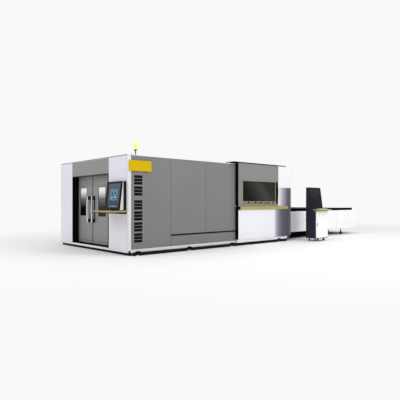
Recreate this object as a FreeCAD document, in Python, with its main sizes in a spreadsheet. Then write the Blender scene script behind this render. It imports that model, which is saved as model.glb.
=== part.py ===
# Enclosed sheet-cutting machine with a shuttle table and a free-standing operator kiosk.
# Lengths are in millimetres. X runs along the hall from its front end, Y across it, Z up.
# Every piece is first placed from the hall's near front corner. node() then moves it, so that the
# origin is on the floor under the middle of the whole machine.

import FreeCAD, Part
import math
import os
import re
import Sketcher

SIZES = {
    # hall
    "hall_length": 6500,
    "hall_width": 3770,
    "hall_height": 2410,
    "roof_thick": 20,
    "floor_gap": 70,
    "skirt_top": 150,
    "end_skin_bottom": 120,
    "panel_depth": 40,
    "sheet": 3,
    "seam": 6,
    "post": 60,
    "tube_wall": 4,
    "sill_beam": 100,
    # end face
    "near_column": 916,
    "far_column": 810,
    "column_depth": 170,
    "corner_radius": 66,
    "column_side": 72,
    "door_head": 1990,
    "header_depth": 60,
    "lining": 10,
    "near_pier": 344,
    "pier_depth": 20,
    "door_split": 2135,
    "leaf_plane": 200,
    "leaf_depth": 40,
    "leaf_width": 898,
    "leaf_gap": 3,
    "track_base": 12,
    "track_height": 42,
    "track_lip": 7,
    "track_play": 3,
    "track_bottom": 100,
    "running_gap": 0.5,
    "window_inset": 330,
    "window_width": 380,
    "window_bottom": 900,
    "window_top": 1680,
    "glass_thick": 12,
    "glass_setback": 6,
    "handle_bottom": 720,
    "handle_top": 1440,
    "handle_inset": 120,
    "handle_wide": 44,
    "handle_block": 100,
    "handle_reach": 120,
    "grip_radius": 14,
    "grip_bow": 26,
    # long side
    "first_seam": 1260,
    "panel_pitch": 1220,
    "groove_bottom": 415,
    "groove": 35,
    "sign_start": 0,
    "sign_end": 625,
    "sign_bottom": 2020,
    "sign_top": 2270,
    "sign_depth": 43,
    # bay on the long side
    "bay_start": 3660,
    "bay_reach": 120,
    "bay_split": 5530,
    "bay_split_low": 5350,
    "bay_radius": 450,
    "bay_top": 2430,
    "bay_panel_bottom": 175,
    "ledge_bottom": 1050,
    "ledge_top": 1145,
    "ledge_lip": 30,
    "cap_overhang": 200,
    "cap_end": 5900,
    "cap_thick": 20,
    "cap_lip": 20,
    "cap_seat": 200,
    "bay_door_depth": 108,
    "bay_frame_left": 110,
    "bay_frame_right": 27,
    "bay_frame_bottom": 1210,
    "bay_frame_top": 1930,
    "bay_stile_left": 80,
    "bay_stile_right": 150,
    "bay_rail_bottom": 100,
    "bay_rail_top": 40,
    "bay_frame_proud": 8,
    "bay_frame_depth": 28,
    "bay_handle_reach": 58,
    "bay_handle_bottom": 1250,
    "bay_handle_top": 1910,
    # bed, rails, gantry and head
    "bed_start": 500,
    "bed_end_gap": 380,
    "bed_inner": 400,
    "bed_beam": 180,
    "bed_beam_bottom": 700,
    "bed_beam_top": 1100,
    "bed_post_first": 600,
    "bed_post_pitch": 1770,
    "rail_size": 30,
    "gantry_start": 950,
    "gantry_beam": 280,
    "gantry_height": 350,
    "truck_length": 480,
    "truck_width": 160,
    "truck_height": 80,
    "carriage_width": 300,
    "carriage_thick": 80,
    "carriage_height": 460,
    "head_width": 120,
    "head_body": 420,
    "head_depth": 110,
    "nozzle_clear": 300,
    "nozzle_height": 190,
    "nozzle_radius": 38,
    "tip_radius": 6,
    # pallets and their rails
    "pallet_rail": 80,
    "pallet_rail_thick": 40,
    "upper_rail": 900,
    "lower_rail": 640,
    "pallet_length": 4100,
    "pallet_start": 1350,
    "pallet_travel": 5300,
    "pallet_gap": 25,
    "pallet_side": 60,
    "pallet_height": 80,
    "slat_pitch": 160,
    "slat_thick": 5,
    "slat_rise": 60,
    "slat_foot": 20,
    "tooth_pitch": 140,
    "tooth_depth": 22,
    # exchange table
    "table_length": 4630,
    "table_side": 200,
    "table_beam": 160,
    "table_beam_bottom": 280,
    "table_beam_top": 400,
    "cover_bottom": 245,
    "cover_top": 955,
    "band_top": 1045,
    "end_block": 330,
    "table_post": 120,
    "table_post_first": 0,
    "table_post_pitch": 1780,
    # feet
    "foot_first": 206,
    "foot_pitch": 1612,
    "foot_last": 5616,
    "foot_line": 60,
    "foot_radius": 45,
    "foot_neck": 28,
    "foot_pad": 24,
    "foot_rim": 8,
    "foot_cone": 144,
    "stem_radius": 12,
    "portal_low": 590,
    "portal_high": 1140,
    "portal_gap": 5,
    # lamp
    "lamp_along": 390,
    "lamp_across": 300,
    "lamp_pole": 12,
    "lamp_pole_height": 140,
    "lamp_radius": 38,
    "lamp_height": 210,
    "lamp_dome": 20,
    # console on the near column
    "console_start": 100,
    "console_width": 710,
    "console_bottom": 1085,
    "console_height": 690,
    "console_back": 80,
    "console_nose_top": 15,
    "console_nose_bottom": 100,
    "bezel_thick": 14,
    "bezel_margin": 22,
    "screen_thick": 4,
    "screen_margin": 30,
    "button_strip": 110,
    "button_pitch": 92,
    "button_first": 130,
    "button_radius": 15,
    "button_stem": 8,
    "button_stand": 9,
    "button_travel": 6,
    "button_high": 12,
    "stop_radius": 24,
    "shelf_start": 75,
    "shelf_width": 820,
    "shelf_reach": 470,
    "shelf_top": 1075,
    "shelf_thick": 50,
    "shelf_radius": 70,
    "shelf_rim": 14,
    "shelf_recess": 8,
    # kiosk
    "kiosk_start": 6540,
    "kiosk_front": 870,
    "kiosk_width": 680,
    "kiosk_depth": 400,
    "kiosk_bottom": 90,
    "kiosk_wall": 20,
    "kiosk_desk": 1040,
    "kiosk_board": 40,
    "kiosk_top": 1757,
    "kiosk_head_width": 700,
    "kiosk_head_top": 90,
    "kiosk_head_bottom": 190,
    "kiosk_head_inset": 10,
    "kiosk_tray_reach": 150,
    "kiosk_tray_back": 100,
    "kiosk_tray_side": 20,
    "kiosk_door_setback": 30,
    "kiosk_pin": 4,
    "kiosk_pin_inset": 15,
    "kiosk_pin_length": 8,
    "pin_play": 0.05,
    "pin_end_play": 1,
    "lock_radius": 10,
    "lock_flange": 14,
    "lock_height": 550,
    "lock_inset": 60,
    "lock_cam": 34,
    "keyboard_length": 440,
    "keyboard_width": 130,
    "keyboard_thick": 22,
    "mouse_start": 120,
    "mouse_length": 105,
    "mouse_width": 62,
    "mouse_height": 34,
    # casters
    "wheel_radius": 36,
    "wheel_width": 22,
    "wheel_bore": 5,
    "caster_inset": 90,
    "caster_trail": 20,
    "cheek": 4,
    "cheek_gap": 3,
    "crown": 12,
    "king_pin": 6,
    "king_pin_length": 12,
}

CENTRE_X = "(hall_length + table_length - shelf_reach) / 2"
CENTRE_Y = "(hall_width - kiosk_front - kiosk_tray_reach) / 2"
TABLE_END = "hall_length + table_length"
SKIN_TOP = "hall_height - roof_thick"
FAR_COLUMN = "hall_width - far_column"
BAY_TURN = "hall_length - bay_radius"

doc = FreeCAD.newDocument("cutting_machine")
sheet = doc.addObject("Spreadsheet::Sheet", "dims")
nodes = []
places = {}


def fill_sheet():
    """Writes each size as plain text beside its name, and gives its cell an alias."""
    for row, (name, value) in enumerate(SIZES.items(), start=1):
        sheet.set(f"A{row}", name)
        sheet.set(f"B{row}", str(value))
        sheet.setAlias(f"B{row}", name)
    doc.recompute()


def rule(text):
    """Puts the sheet's name before each size in an expression."""
    return re.sub(r"[a-z_]+", lambda m: "dims." + m[0] if m[0] in SIZES else m[0], str(text))


def number(text):
    """The present value of an expression."""
    return float(sheet.evalExpression(rule(text)))


def bind(item, name, text):
    item.setExpression(name, rule(text))


def place(item, at):
    """Binds an object's place to three expressions."""
    places[item.Name] = at
    for axis, text in zip("xyz", at):
        bind(item, f"Placement.Base.{axis}", text)


def turn(item, axis, angle):
    """Sets an object's axis of rotation and binds its angle in degrees."""
    item.Placement.Rotation = FreeCAD.Rotation(FreeCAD.Vector(*axis), 1)
    bind(item, "Placement.Rotation.Angle", angle)


def node(label, item):
    """Names a finished sub-part and moves it from the corner frame to the machine's own."""
    at = places.get(item.Name, ("0", "0", "0"))
    place(item, (f"{at[0]} - ({CENTRE_X})", f"{at[1]} - ({CENTRE_Y})", at[2]))
    item.Label = label
    nodes.append(item)
    return item


def box(name, size, at):
    item = doc.addObject("Part::Box", name)
    for side, text in zip(("Length", "Width", "Height"), size):
        bind(item, side, text)
    place(item, at)
    return item


def cut(name, base, tool):
    item = doc.addObject("Part::Cut", name)
    item.Base = base
    item.Tool = tool
    return item


def fuse(name, parts):
    item = doc.addObject("Part::MultiFuse", name)
    item.Shapes = parts
    return item


def group(name, parts):
    """Separate solids that belong to one sub-part."""
    item = doc.addObject("Part::Compound", name)
    item.Links = parts
    return item


def tube(name, size, at, along):
    """A square tube: a box with a smaller one taken out of it from end to end."""
    inner = [text if k == along else f"{text} - 2 * tube_wall" for k, text in enumerate(size)]
    shift = [text if k == along else f"{text} + tube_wall" for k, text in enumerate(at)]
    return cut(name, box(name + "_outer", size, at), box(name + "_hollow", inner, shift))


def tray(name, size, at, open_axis, open_side):
    """A folded panel: five walls of sheet, open on one side along open_axis (-1 or 1)."""
    inner = [f"{t} - sheet" if k == open_axis else f"{t} - 2 * sheet" for k, t in enumerate(size)]
    shift = [t if k == open_axis and open_side < 0 else f"{t} + sheet" for k, t in enumerate(at)]
    return cut(name, box(name + "_outer", size, at), box(name + "_hollow", inner, shift))


def rod(name, radius, length, at, axis=(0, 0, 1)):
    """A round bar from a point, along +Z, or along the axis given."""
    item = doc.addObject("Part::Cylinder", name)
    bind(item, "Radius", radius)
    bind(item, "Height", length)
    item.Placement.Rotation = FreeCAD.Rotation(FreeCAD.Vector(0, 0, 1), FreeCAD.Vector(*axis))
    place(item, at)
    return item


def origin_item(body, role):
    return [item for item in body.Origin.OriginFeatures if item.Role == role][0]


def new_body(name, at):
    body = doc.addObject("PartDesign::Body", name)
    place(body, at)
    return body


def arc_edge(start, end, centre):
    """The shorter arc between two points, and whether the path runs along it backwards."""
    angles = [math.atan2(p.y - centre.y, p.x - centre.x) for p in (start, end)]
    backwards = (angles[1] - angles[0]) % (2 * math.pi) > math.pi
    first, last = (angles[1], angles[0]) if backwards else (angles[0], angles[1])
    if last < first:
        last += 2 * math.pi
    circle = Part.Circle(centre, FreeCAD.Vector(0, 0, 1), start.distanceToPoint(centre))
    return Part.ArcOfCircle(circle, first, last), backwards


def bound(sketch, kind, values, text):
    """Adds one constraint and binds its value."""
    index = sketch.addConstraint(Sketcher.Constraint(kind, *values, number(text)))
    sketch.setExpression(f"Constraints[{index}]", rule(text))


def outline(body, name, plane, points):
    """A closed sketch through points. A point with a centre is reached by an arc round it."""
    sketch = body.newObject("Sketcher::SketchObject", name)
    sketch.AttachmentSupport = [(origin_item(body, plane), "")]
    sketch.MapMode = "FlatFace"
    spots = [FreeCAD.Vector(number(p[0]), number(p[1]), 0) for p in points]
    ends = []
    for k, spot in enumerate(spots):
        after = (k + 1) % len(spots)
        if len(points[after]) == 4:
            centre = FreeCAD.Vector(number(points[after][2]), number(points[after][3]), 0)
            edge, backwards = arc_edge(spot, spots[after], centre)
        else:
            edge, backwards = Part.LineSegment(spot, spots[after]), False
        sketch.addGeometry(edge, False)
        ends.append((2, 1) if backwards else (1, 2))
    for k, point in enumerate(points):
        after = (k + 1) % len(points)
        bound(sketch, "DistanceX", (-1, 1, k, ends[k][0]), point[0])
        bound(sketch, "DistanceY", (-1, 1, k, ends[k][0]), point[1])
        sketch.addConstraint(Sketcher.Constraint("Coincident", k, ends[k][1], after, ends[after][0]))
        if len(points[after]) == 4:
            reach = f"sqrt(({point[0]} - ({points[after][2]}))^2 + ({point[1]} - ({points[after][3]}))^2)"
            bound(sketch, "Radius", (k,), reach)
    return sketch


def pad(body, sketch, length, reverse=False):
    item = body.newObject("PartDesign::Pad", body.Name + "_pad")
    item.Profile = sketch
    item.Reversed = reverse
    bind(item, "Length", length)
    body.Tip = item
    return item


def pocket(body, sketch, length, reverse=False):
    item = body.newObject("PartDesign::Pocket", body.Name + "_pocket")
    item.Profile = sketch
    item.Reversed = reverse
    bind(item, "Length", length)
    body.Tip = item
    return item


def revolved(name, points, at):
    """A turned piece: a half outline of radius and height, spun about the vertical."""
    body = new_body(name, at)
    sketch = outline(body, name + "_half", "XZ_Plane", points)
    item = body.newObject("PartDesign::Revolution", name + "_turn")
    item.Profile = sketch
    item.ReferenceAxis = (sketch, ["V_Axis"])
    item.Angle = 360
    body.Tip = item
    return body


def round_rim(size, radius):
    """Points of a rectangle whose two corners on the low X side are rounded."""
    length, width = size
    return [
        (length, "0"),
        (length, width),
        (radius, width),
        ("0", f"{width} - {radius}", radius, f"{width} - {radius}"),
        ("0", radius),
        (radius, "0", radius, radius),
    ]


# ---- frame, feet and skirting ----


def foot(name, at, height):
    """A levelling foot: a turned pad with a flared neck and a threaded stem."""
    profile = [
        ("0", "0"),
        ("foot_radius", "0"),
        ("foot_radius", "foot_rim"),
        ("foot_neck", "foot_pad"),
        ("stem_radius", "foot_pad"),
        ("stem_radius", height),
        ("0", height),
    ]
    return revolved(name, profile, at)


def levelling_feet():
    along = ["foot_first", "foot_first + foot_pitch", "foot_first + 2 * foot_pitch", "foot_last"]
    across = ["foot_line", "hall_width - foot_line"]
    feet = []
    for k, x in enumerate(along):
        for j, y in enumerate(across):
            feet.append(foot(f"foot_{k}_{j}", (x, y, "0"), "floor_gap"))
    node("levelling_feet", group("levelling_feet_group", feet))


def sill_beams():
    """The low frame of tubes that the hall and the bed stand on."""
    high = "skirt_top - floor_gap"
    near_run = f"{BAY_TURN} + bay_radius / 2 + post - column_depth"
    far_run = "hall_length - bed_end_gap - column_depth"
    across = "hall_width - 2 * panel_depth - 2 * sill_beam"
    inner = "panel_depth + sill_beam"
    far = "hall_width - panel_depth - sill_beam"
    parts = [
        tube("near_sill", (near_run, "sill_beam", high), ("column_depth", "panel_depth", "floor_gap"), 0),
        tube("far_sill", (far_run, "sill_beam", high), ("column_depth", far, "floor_gap"), 0),
        tube("front_sill", ("sill_beam", across, high), ("leaf_plane + post", inner, "floor_gap"), 1),
    ]
    for k in range(4):
        x = f"bed_post_first + {k} * bed_post_pitch"
        parts.append(tube(f"cross_sill_{k}", ("bed_beam", across, high), (x, inner, "floor_gap"), 1))
    return parts


def bed_side(name, beam_y, ledge_y, rail_y):
    """One side of the bed: posts, a deep beam, two pallet rails and the gantry's rail."""
    run = "hall_length - bed_end_gap - bed_start"
    deep = "bed_beam_top - bed_beam_bottom"
    parts = [
        tube(name + "_beam", (run, "bed_beam", deep), ("bed_start", beam_y, "bed_beam_bottom"), 0),
        box(name + "_rail", (run, "rail_size", "rail_size"), ("bed_start", rail_y, "bed_beam_top")),
    ]
    for level in ("upper_rail", "lower_rail"):
        at = ("bed_start", ledge_y, f"{level} - pallet_rail_thick")
        parts.append(box(f"{name}_{level}", (run, "pallet_rail", "pallet_rail_thick"), at))
    for k in range(4):
        at = (f"bed_post_first + {k} * bed_post_pitch", beam_y, "skirt_top")
        size = ("bed_beam", "bed_beam", "bed_beam_bottom - skirt_top")
        parts.append(tube(f"{name}_post_{k}", size, at, 2))
    return parts


def base_frame():
    near_rail = "bed_inner - (bed_beam + rail_size) / 2"
    near = bed_side("near_bed", "bed_inner - bed_beam", "bed_inner", near_rail)
    far = bed_side(
        "far_bed",
        "hall_width - bed_inner",
        "hall_width - bed_inner - pallet_rail",
        f"hall_width - ({near_rail}) - rail_size",
    )
    node("base_frame", group("base_frame_group", sill_beams() + near + far))


def enclosure_frame():
    """Posts and top rails that carry the panels and the roof."""
    high = f"{SKIN_TOP} - skirt_top"
    near_y = "panel_depth"
    far_y = "hall_width - panel_depth - post"
    near_x = [
        "column_depth",
        "first_seam - post / 2",
        "first_seam + panel_pitch - post / 2",
        "bay_start - post",
        "bay_split",
        f"{BAY_TURN} + bay_radius / 5",
    ]
    far_x = near_x[:4] + ["bay_split - post", "hall_length - panel_depth - post"]
    parts = []
    for side, y, spots in (("near", near_y, near_x), ("far", far_y, far_x)):
        for k, x in enumerate(spots):
            size = ("post", "post", f"{high} - post")
            parts.append(tube(f"{side}_post_{k}", size, (x, y, "skirt_top"), 2))
        top = f"{SKIN_TOP} - post"
        run = f"{spots[-1]} + post - column_depth"
        parts.append(tube(f"{side}_top", (run, "post", "post"), ("column_depth", y, top), 0))
    end = "hall_width - panel_depth - post"
    crossings = (
        ("front_top", "column_depth + leaf_plane", "panel_depth + post"),
        ("rear_top", far_x[-1], "bay_radius - bay_reach"),
    )
    for name, x, y in crossings:
        parts.append(tube(name, ("post", f"{end} - ({y})", "post"), (x, y, f"{SKIN_TOP} - post"), 1))
    node("enclosure_frame", group("enclosure_frame_group", parts))


def base_rail():
    """White skirting along both long sides, across the front and under the bay."""
    high = "skirt_top - floor_gap"
    run = f"{BAY_TURN} - column_side"
    parts = [
        box("skirt_near", (run, "panel_depth", high), ("column_side", "0", "floor_gap")),
        box(
            "skirt_far",
            ("hall_length - column_side", "panel_depth", high),
            ("column_side", "hall_width - panel_depth", "floor_gap"),
        ),
        box(
            "skirt_front",
            ("panel_depth", "hall_width - 2 * corner_radius", "end_skin_bottom - floor_gap"),
            ("lining", "corner_radius", "floor_gap"),
        ),
        box(
            "skirt_bay",
            (f"{BAY_TURN} - bay_start", "bay_reach - panel_depth", "bay_panel_bottom - floor_gap"),
            ("bay_start", "panel_depth - bay_reach", "floor_gap"),
        ),
    ]
    node("base_rail", group("base_rail_group", parts))


# ---- end face ----


def column(label, width, at, corner_low):
    """A folded corner column: a closed section with one rounded outer corner.

    It is stepped back behind the long side's panels, and shows there only by its side strip.
    """
    outer_r = "corner_radius"
    body = new_body(label + "_body", at)
    for k, (gap, act) in enumerate((("0", pad), ("sheet", pocket))):
        r = f"({outer_r} - {gap})"
        deep = f"(column_depth - {gap})"
        wide = f"({width} - {gap})"
        side = f"(column_side - {gap})"
        if corner_low:
            step = f"(panel_depth + {gap})"
            points = [
                (deep, step),
                (deep, wide),
                (gap, wide),
                (gap, outer_r),
                (outer_r, gap, outer_r, outer_r),
                (side, gap),
                (side, step),
            ]
        else:
            step = f"({width} - panel_depth - {gap})"
            points = [
                (gap, gap),
                (deep, gap),
                (deep, step),
                (side, step),
                (side, wide),
                (outer_r, wide),
                (gap, f"{width} - {outer_r}", outer_r, f"{width} - {outer_r}"),
            ]
        sketch = outline(body, f"{label}_outline_{k}", "XY_Plane", points)
        act(body, sketch, f"{SKIN_TOP} - end_skin_bottom", reverse=(act is pocket))
    node(label, body)


def door_header():
    size = ("header_depth", f"{FAR_COLUMN} - near_column", f"{SKIN_TOP} - door_head")
    node("door_header", tray("door_header_tray", size, ("0", "near_column", "door_head"), 0, 1))


def track(name, z, lips_up):
    """A channel that guides both leaves: a flat with a lip along each edge."""
    wide = "leaf_depth + 2 * track_play + 2 * track_lip"
    start = "leaf_plane - track_play - track_lip"
    low = "panel_depth + sill_beam"
    run = f"hall_width - 2 * ({low})"
    flat_z = z if lips_up else f"{z} + track_height - track_base"
    lip_z = f"{z} + track_base" if lips_up else z
    lip_size = ("track_lip", run, "track_height - track_base")
    far_lip = "leaf_plane + leaf_depth + track_play"
    return [
        box(name + "_flat", (wide, run, "track_base"), (start, low, flat_z)),
        box(name + "_front_lip", lip_size, (start, low, lip_z)),
        box(name + "_back_lip", lip_size, (far_lip, low, lip_z)),
    ]


def door_surround():
    """Black lining of the doorway, the fixed pier beside it and the leaves' tracks."""
    deep = "leaf_plane - track_play - track_lip"
    high = "door_head - end_skin_bottom"
    wide = f"{FAR_COLUMN} - near_column - 2 * lining"
    low_z = "end_skin_bottom"
    pier_x = f"{deep} - pier_depth"
    parts = [
        box("near_reveal", (pier_x, "lining", high), ("0", "near_column", low_z)),
        box("near_pier_panel", ("pier_depth", "near_pier", high), (pier_x, "near_column", low_z)),
        box("far_reveal", (deep, "lining", high), ("0", f"{FAR_COLUMN} - lining", low_z)),
        box(
            "soffit",
            (f"{deep} - header_depth", wide, "lining"),
            ("header_depth", "near_column + lining", "door_head"),
        ),
        box(
            "threshold",
            (f"{deep} - lining - panel_depth", wide, "lining"),
            ("lining + panel_depth", "near_column + lining", "track_bottom"),
        ),
    ]
    parts += track("low_track", "track_bottom", True)
    parts += track("top_track", "door_head", False)
    node("door_surround", group("door_surround_group", parts))


def leaf(label, at_y, window_y):
    """A sandwich leaf with a window cut through it, running between the two tracks."""
    low = "track_bottom + track_base + running_gap"
    high = "door_head + track_height - track_base - running_gap"
    size = ("leaf_depth", "leaf_width", f"{high} - ({low})")
    blank = box(label + "_blank", size, ("leaf_plane", at_y, low))
    hole_size = ("leaf_depth", "window_width", "window_top - window_bottom")
    hole = box(label + "_hole", hole_size, ("leaf_plane", window_y, "window_bottom"))
    node(label, cut(label + "_cut", blank, hole))


def leaf_glass(label, window_y):
    size = ("glass_thick", "window_width", "window_top - window_bottom")
    node(label, box(label + "_pane", size, ("leaf_plane + glass_setback", window_y, "window_bottom")))


def handle(label, centre, face, low, high, reach, outward):
    """A bowed pull: two blocks on the face and a round grip between them.

    outward is the way it stands off: "x" for -X on the end face, "y" for -Y on the long side.
    """
    half = f"(({high}) - ({low}) - handle_block) / 2"
    middle = f"(({high}) + ({low})) / 2"
    bow_radius = f"(({half})^2 + grip_bow^2) / (2 * grip_bow)"
    # The ring's centre lies behind the face, so that its rim crosses each block's middle.
    block_reach = f"{reach} - grip_bow"
    grip = doc.addObject("Part::Torus", label + "_grip")
    bind(grip, "Radius1", bow_radius)
    bind(grip, "Radius2", "grip_radius")
    bind(grip, "Angle3", f"2 * asin(({half}) / ({bow_radius}))")
    back = f"({bow_radius}) - grip_bow - ({block_reach} - grip_radius)"
    parts = [grip]
    if outward == "x":
        place(grip, (f"({face}) + {back}", centre, middle))
        # The ring starts along its own X, so it is stood up and half its sweep is turned back.
        swing = FreeCAD.Rotation(FreeCAD.Vector(1, 0, 0), 90)
        start = FreeCAD.Rotation(FreeCAD.Vector(0, 0, 1), 180 - half_sweep(half, bow_radius))
        size = (block_reach, "handle_wide", "handle_block")
        at = [f"({face}) - ({block_reach})", f"({centre}) - handle_wide / 2"]
    else:
        place(grip, (centre, f"({face}) + {back}", middle))
        swing = FreeCAD.Rotation(FreeCAD.Vector(0, 1, 0), -90)
        start = FreeCAD.Rotation(FreeCAD.Vector(0, 0, 1), -90 - half_sweep(half, bow_radius))
        size = ("handle_wide", block_reach, "handle_block")
        at = [f"({centre}) - handle_wide / 2", f"({face}) - ({block_reach})"]
    grip.Placement.Rotation = swing.multiply(start)
    for k, z in enumerate((low, f"({high}) - handle_block")):
        parts.append(box(f"{label}_block_{k}", size, (at[0], at[1], z)))
    node(label, fuse(label + "_fuse", parts))


def half_sweep(half, bow_radius):
    return math.degrees(math.asin(number(half) / number(bow_radius)))


def end_doors():
    near_y = "door_split - leaf_gap / 2 - leaf_width"
    far_y = "door_split + leaf_gap / 2"
    near_window = f"{near_y} + leaf_width - window_inset - window_width"
    far_window = f"{far_y} + window_inset"
    near_grip = f"{near_y} + leaf_width - handle_inset"
    far_grip = f"{far_y} + handle_inset"
    for side, y, window, grip in (
        ("near", near_y, near_window, near_grip),
        ("far", far_y, far_window, far_grip),
    ):
        leaf(f"{side}_door_leaf", y, window)
        leaf_glass(f"{side}_door_glass", window)
        handle(
            f"{side}_door_handle", grip, "leaf_plane", "handle_bottom", "handle_top", "handle_reach", "x"
        )


# ---- long sides, rear and roof ----


def side_panels():
    """Five folded panels: a full-height one, then two with a kick panel under a dark groove."""
    high = f"{SKIN_TOP} - skirt_top"
    upper = "groove_bottom + groove"
    first_end = "first_seam - seam / 2"
    parts = [
        tray(
            "panel_full",
            (f"{first_end} - column_side - seam", "panel_depth", high),
            ("column_side + seam", "0", "skirt_top"),
            1,
            1,
        )
    ]
    for k in range(2):
        start = f"first_seam + {k} * panel_pitch + seam / 2"
        end = f"first_seam + {k + 1} * panel_pitch - seam / 2" if k == 0 else "bay_start - seam / 2"
        run = f"{end} - ({start})"
        upper_size = (run, "panel_depth", f"{SKIN_TOP} - ({upper})")
        parts.append(tray(f"panel_upper_{k}", upper_size, (start, "0", upper), 1, 1))
        kick_size = (run, "panel_depth", "groove_bottom - skirt_top")
        parts.append(tray(f"panel_kick_{k}", kick_size, (start, "0", "skirt_top"), 1, 1))
    node("side_panels", group("side_panels_group", parts))


def far_side_wall():
    """Folded panels along the far side, the same height as the near ones."""
    count = 5
    pitch = f"(hall_length - column_side) / {count}"
    size = (f"{pitch} - seam", "panel_depth", f"{SKIN_TOP} - skirt_top")
    parts = []
    for k in range(count):
        at = (f"column_side + seam + {k} * {pitch}", "hall_width - panel_depth", "skirt_top")
        parts.append(tray(f"far_panel_{k}", size, at, 1, -1))
    node("far_side_wall", group("far_side_wall_group", parts))


def exit_wall():
    """The rear wall, open where the pallets pass."""
    x = "hall_length - panel_depth"
    low_y = "bed_inner + portal_gap"
    high_y = "hall_width - bed_inner - portal_gap"
    wide = f"{high_y} - ({low_y})"
    start = "bay_radius - bay_reach"
    end = "hall_width - panel_depth"
    high = f"{SKIN_TOP} - skirt_top"
    parts = [
        box("exit_near", ("panel_depth", f"{low_y} - ({start})", high), (x, start, "skirt_top")),
        box("exit_far", ("panel_depth", f"{end} - ({high_y})", high), (x, high_y, "skirt_top")),
        box("exit_top", ("panel_depth", wide, f"{SKIN_TOP} - portal_high"), (x, low_y, "portal_high")),
        box("exit_low", ("panel_depth", wide, "portal_low - skirt_top"), (x, low_y, "skirt_top")),
    ]
    node("exit_wall", group("exit_wall_group", parts))


def roof():
    """One flat roof, rounded over the front column and inside the bay's curved corner."""
    inner = "(bay_radius - panel_depth)"
    edge = "(panel_depth - bay_reach)"
    turn_y = "(bay_radius - bay_reach)"
    points = [
        ("corner_radius", "0"),
        ("bay_split", "0"),
        ("bay_split", edge),
        (BAY_TURN, edge),
        (f"{BAY_TURN} + {inner}", turn_y, BAY_TURN, turn_y),
        ("hall_length", turn_y),
        ("hall_length", "hall_width"),
        ("corner_radius", "hall_width"),
        ("0", "hall_width - corner_radius", "corner_radius", "hall_width - corner_radius"),
        ("0", "corner_radius"),
        ("corner_radius", "0", "corner_radius", "corner_radius"),
    ]
    body = new_body("roof_body", ("0", "0", SKIN_TOP))
    # The list starts where the last arc ends, so that point is given once.
    sketch = outline(body, "roof_outline", "XY_Plane", points[1:])
    pad(body, sketch, "roof_thick")
    node("roof", body)


def sign_plate():
    size = ("sign_end - sign_start", "sign_depth", "sign_top - sign_bottom")
    node("sign_plate", tray("sign_tray", size, ("sign_start", "0 - sign_depth", "sign_bottom"), 1, 1))


def lamp():
    at = ("lamp_along", "lamp_across", "hall_height")
    node("lamp_post", rod("lamp_pole_rod", "lamp_pole", "lamp_pole_height", at))
    profile = [
        ("0", "0"),
        ("lamp_radius", "0"),
        ("lamp_radius", "lamp_height - lamp_dome"),
        ("lamp_radius - lamp_dome", "lamp_height", "lamp_radius - lamp_dome", "lamp_height - lamp_dome"),
        ("0", "lamp_height"),
    ]
    top = "hall_height + lamp_pole_height"
    node("lamp_lens", revolved("lamp_lens_body", profile, ("lamp_along", "lamp_across", top)))


# ---- bay ----


def curved_band(name, start, outer, inner, z, high):
    """A wall that runs along the bay's front and round its corner, between two offsets.

    outer and inner are distances out from and in from the bay's face.
    """
    turn_y = "(bay_radius - bay_reach)"
    outer_r = f"(bay_radius + {outer})"
    inner_r = f"(bay_radius - {inner})"
    points = [
        (start, f"0 - bay_reach - {outer}"),
        (BAY_TURN, f"0 - bay_reach - {outer}"),
        (f"{BAY_TURN} + {outer_r}", turn_y, BAY_TURN, turn_y),
        (f"{BAY_TURN} + {inner_r}", turn_y),
        (BAY_TURN, f"{inner} - bay_reach", BAY_TURN, turn_y),
        (start, f"{inner} - bay_reach"),
    ]
    body = new_body(name, ("0", "0", z))
    pad(body, outline(body, name + "_outline", "XY_Plane", points), high)
    return body


def bay_fixed():
    """White lower panel with its side return, the curved corner column and the straight ledge."""
    low_high = "ledge_bottom - bay_panel_bottom"
    face = "0 - bay_reach"
    panel = box(
        "bay_front",
        ("bay_split_low - seam / 2 - bay_start", "panel_depth", low_high),
        ("bay_start", face, "bay_panel_bottom"),
    )
    side = box(
        "bay_return",
        ("panel_depth", "bay_reach - panel_depth", low_high),
        ("bay_start", "panel_depth - bay_reach", "bay_panel_bottom"),
    )
    node("bay_panel", group("bay_panel_group", [panel, side]))
    low = curved_band(
        "corner_low", "bay_split_low", "0", "panel_depth", "bay_panel_bottom", low_high
    )
    ledge_high = "ledge_top - ledge_bottom"
    ledge_end = f"{BAY_TURN} - panel_depth"
    middle = curved_band(
        "corner_middle", ledge_end, "0", "panel_depth", "ledge_bottom", ledge_high
    )
    high = curved_band(
        "corner_high", "bay_split", "0", "panel_depth", "ledge_top", "bay_top - ledge_top"
    )
    node("bay_corner_column", group("bay_corner_group", [low, middle, high]))
    ledge = box(
        "bay_ledge_bar",
        (f"{ledge_end} - bay_start", "bay_reach + ledge_lip", ledge_high),
        ("bay_start", "0 - bay_reach - ledge_lip", "ledge_bottom"),
    )
    node("bay_ledge", ledge)


def bay_roof_cap():
    """A dark cover over the side door's rail, resting on the roof's edge."""
    run = "cap_end - bay_start + cap_overhang"
    start = "bay_start - cap_overhang"
    plate = box(
        "cap_plate",
        (run, "bay_reach + cap_lip + cap_seat", "cap_thick"),
        (start, "0 - bay_reach - cap_lip", "bay_top"),
    )
    seat = box("cap_seat_bar", (run, "cap_seat", "bay_top - hall_height"), (start, "0", "hall_height"))
    node("bay_roof_cap", group("bay_roof_cap_group", [plate, seat]))


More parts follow.
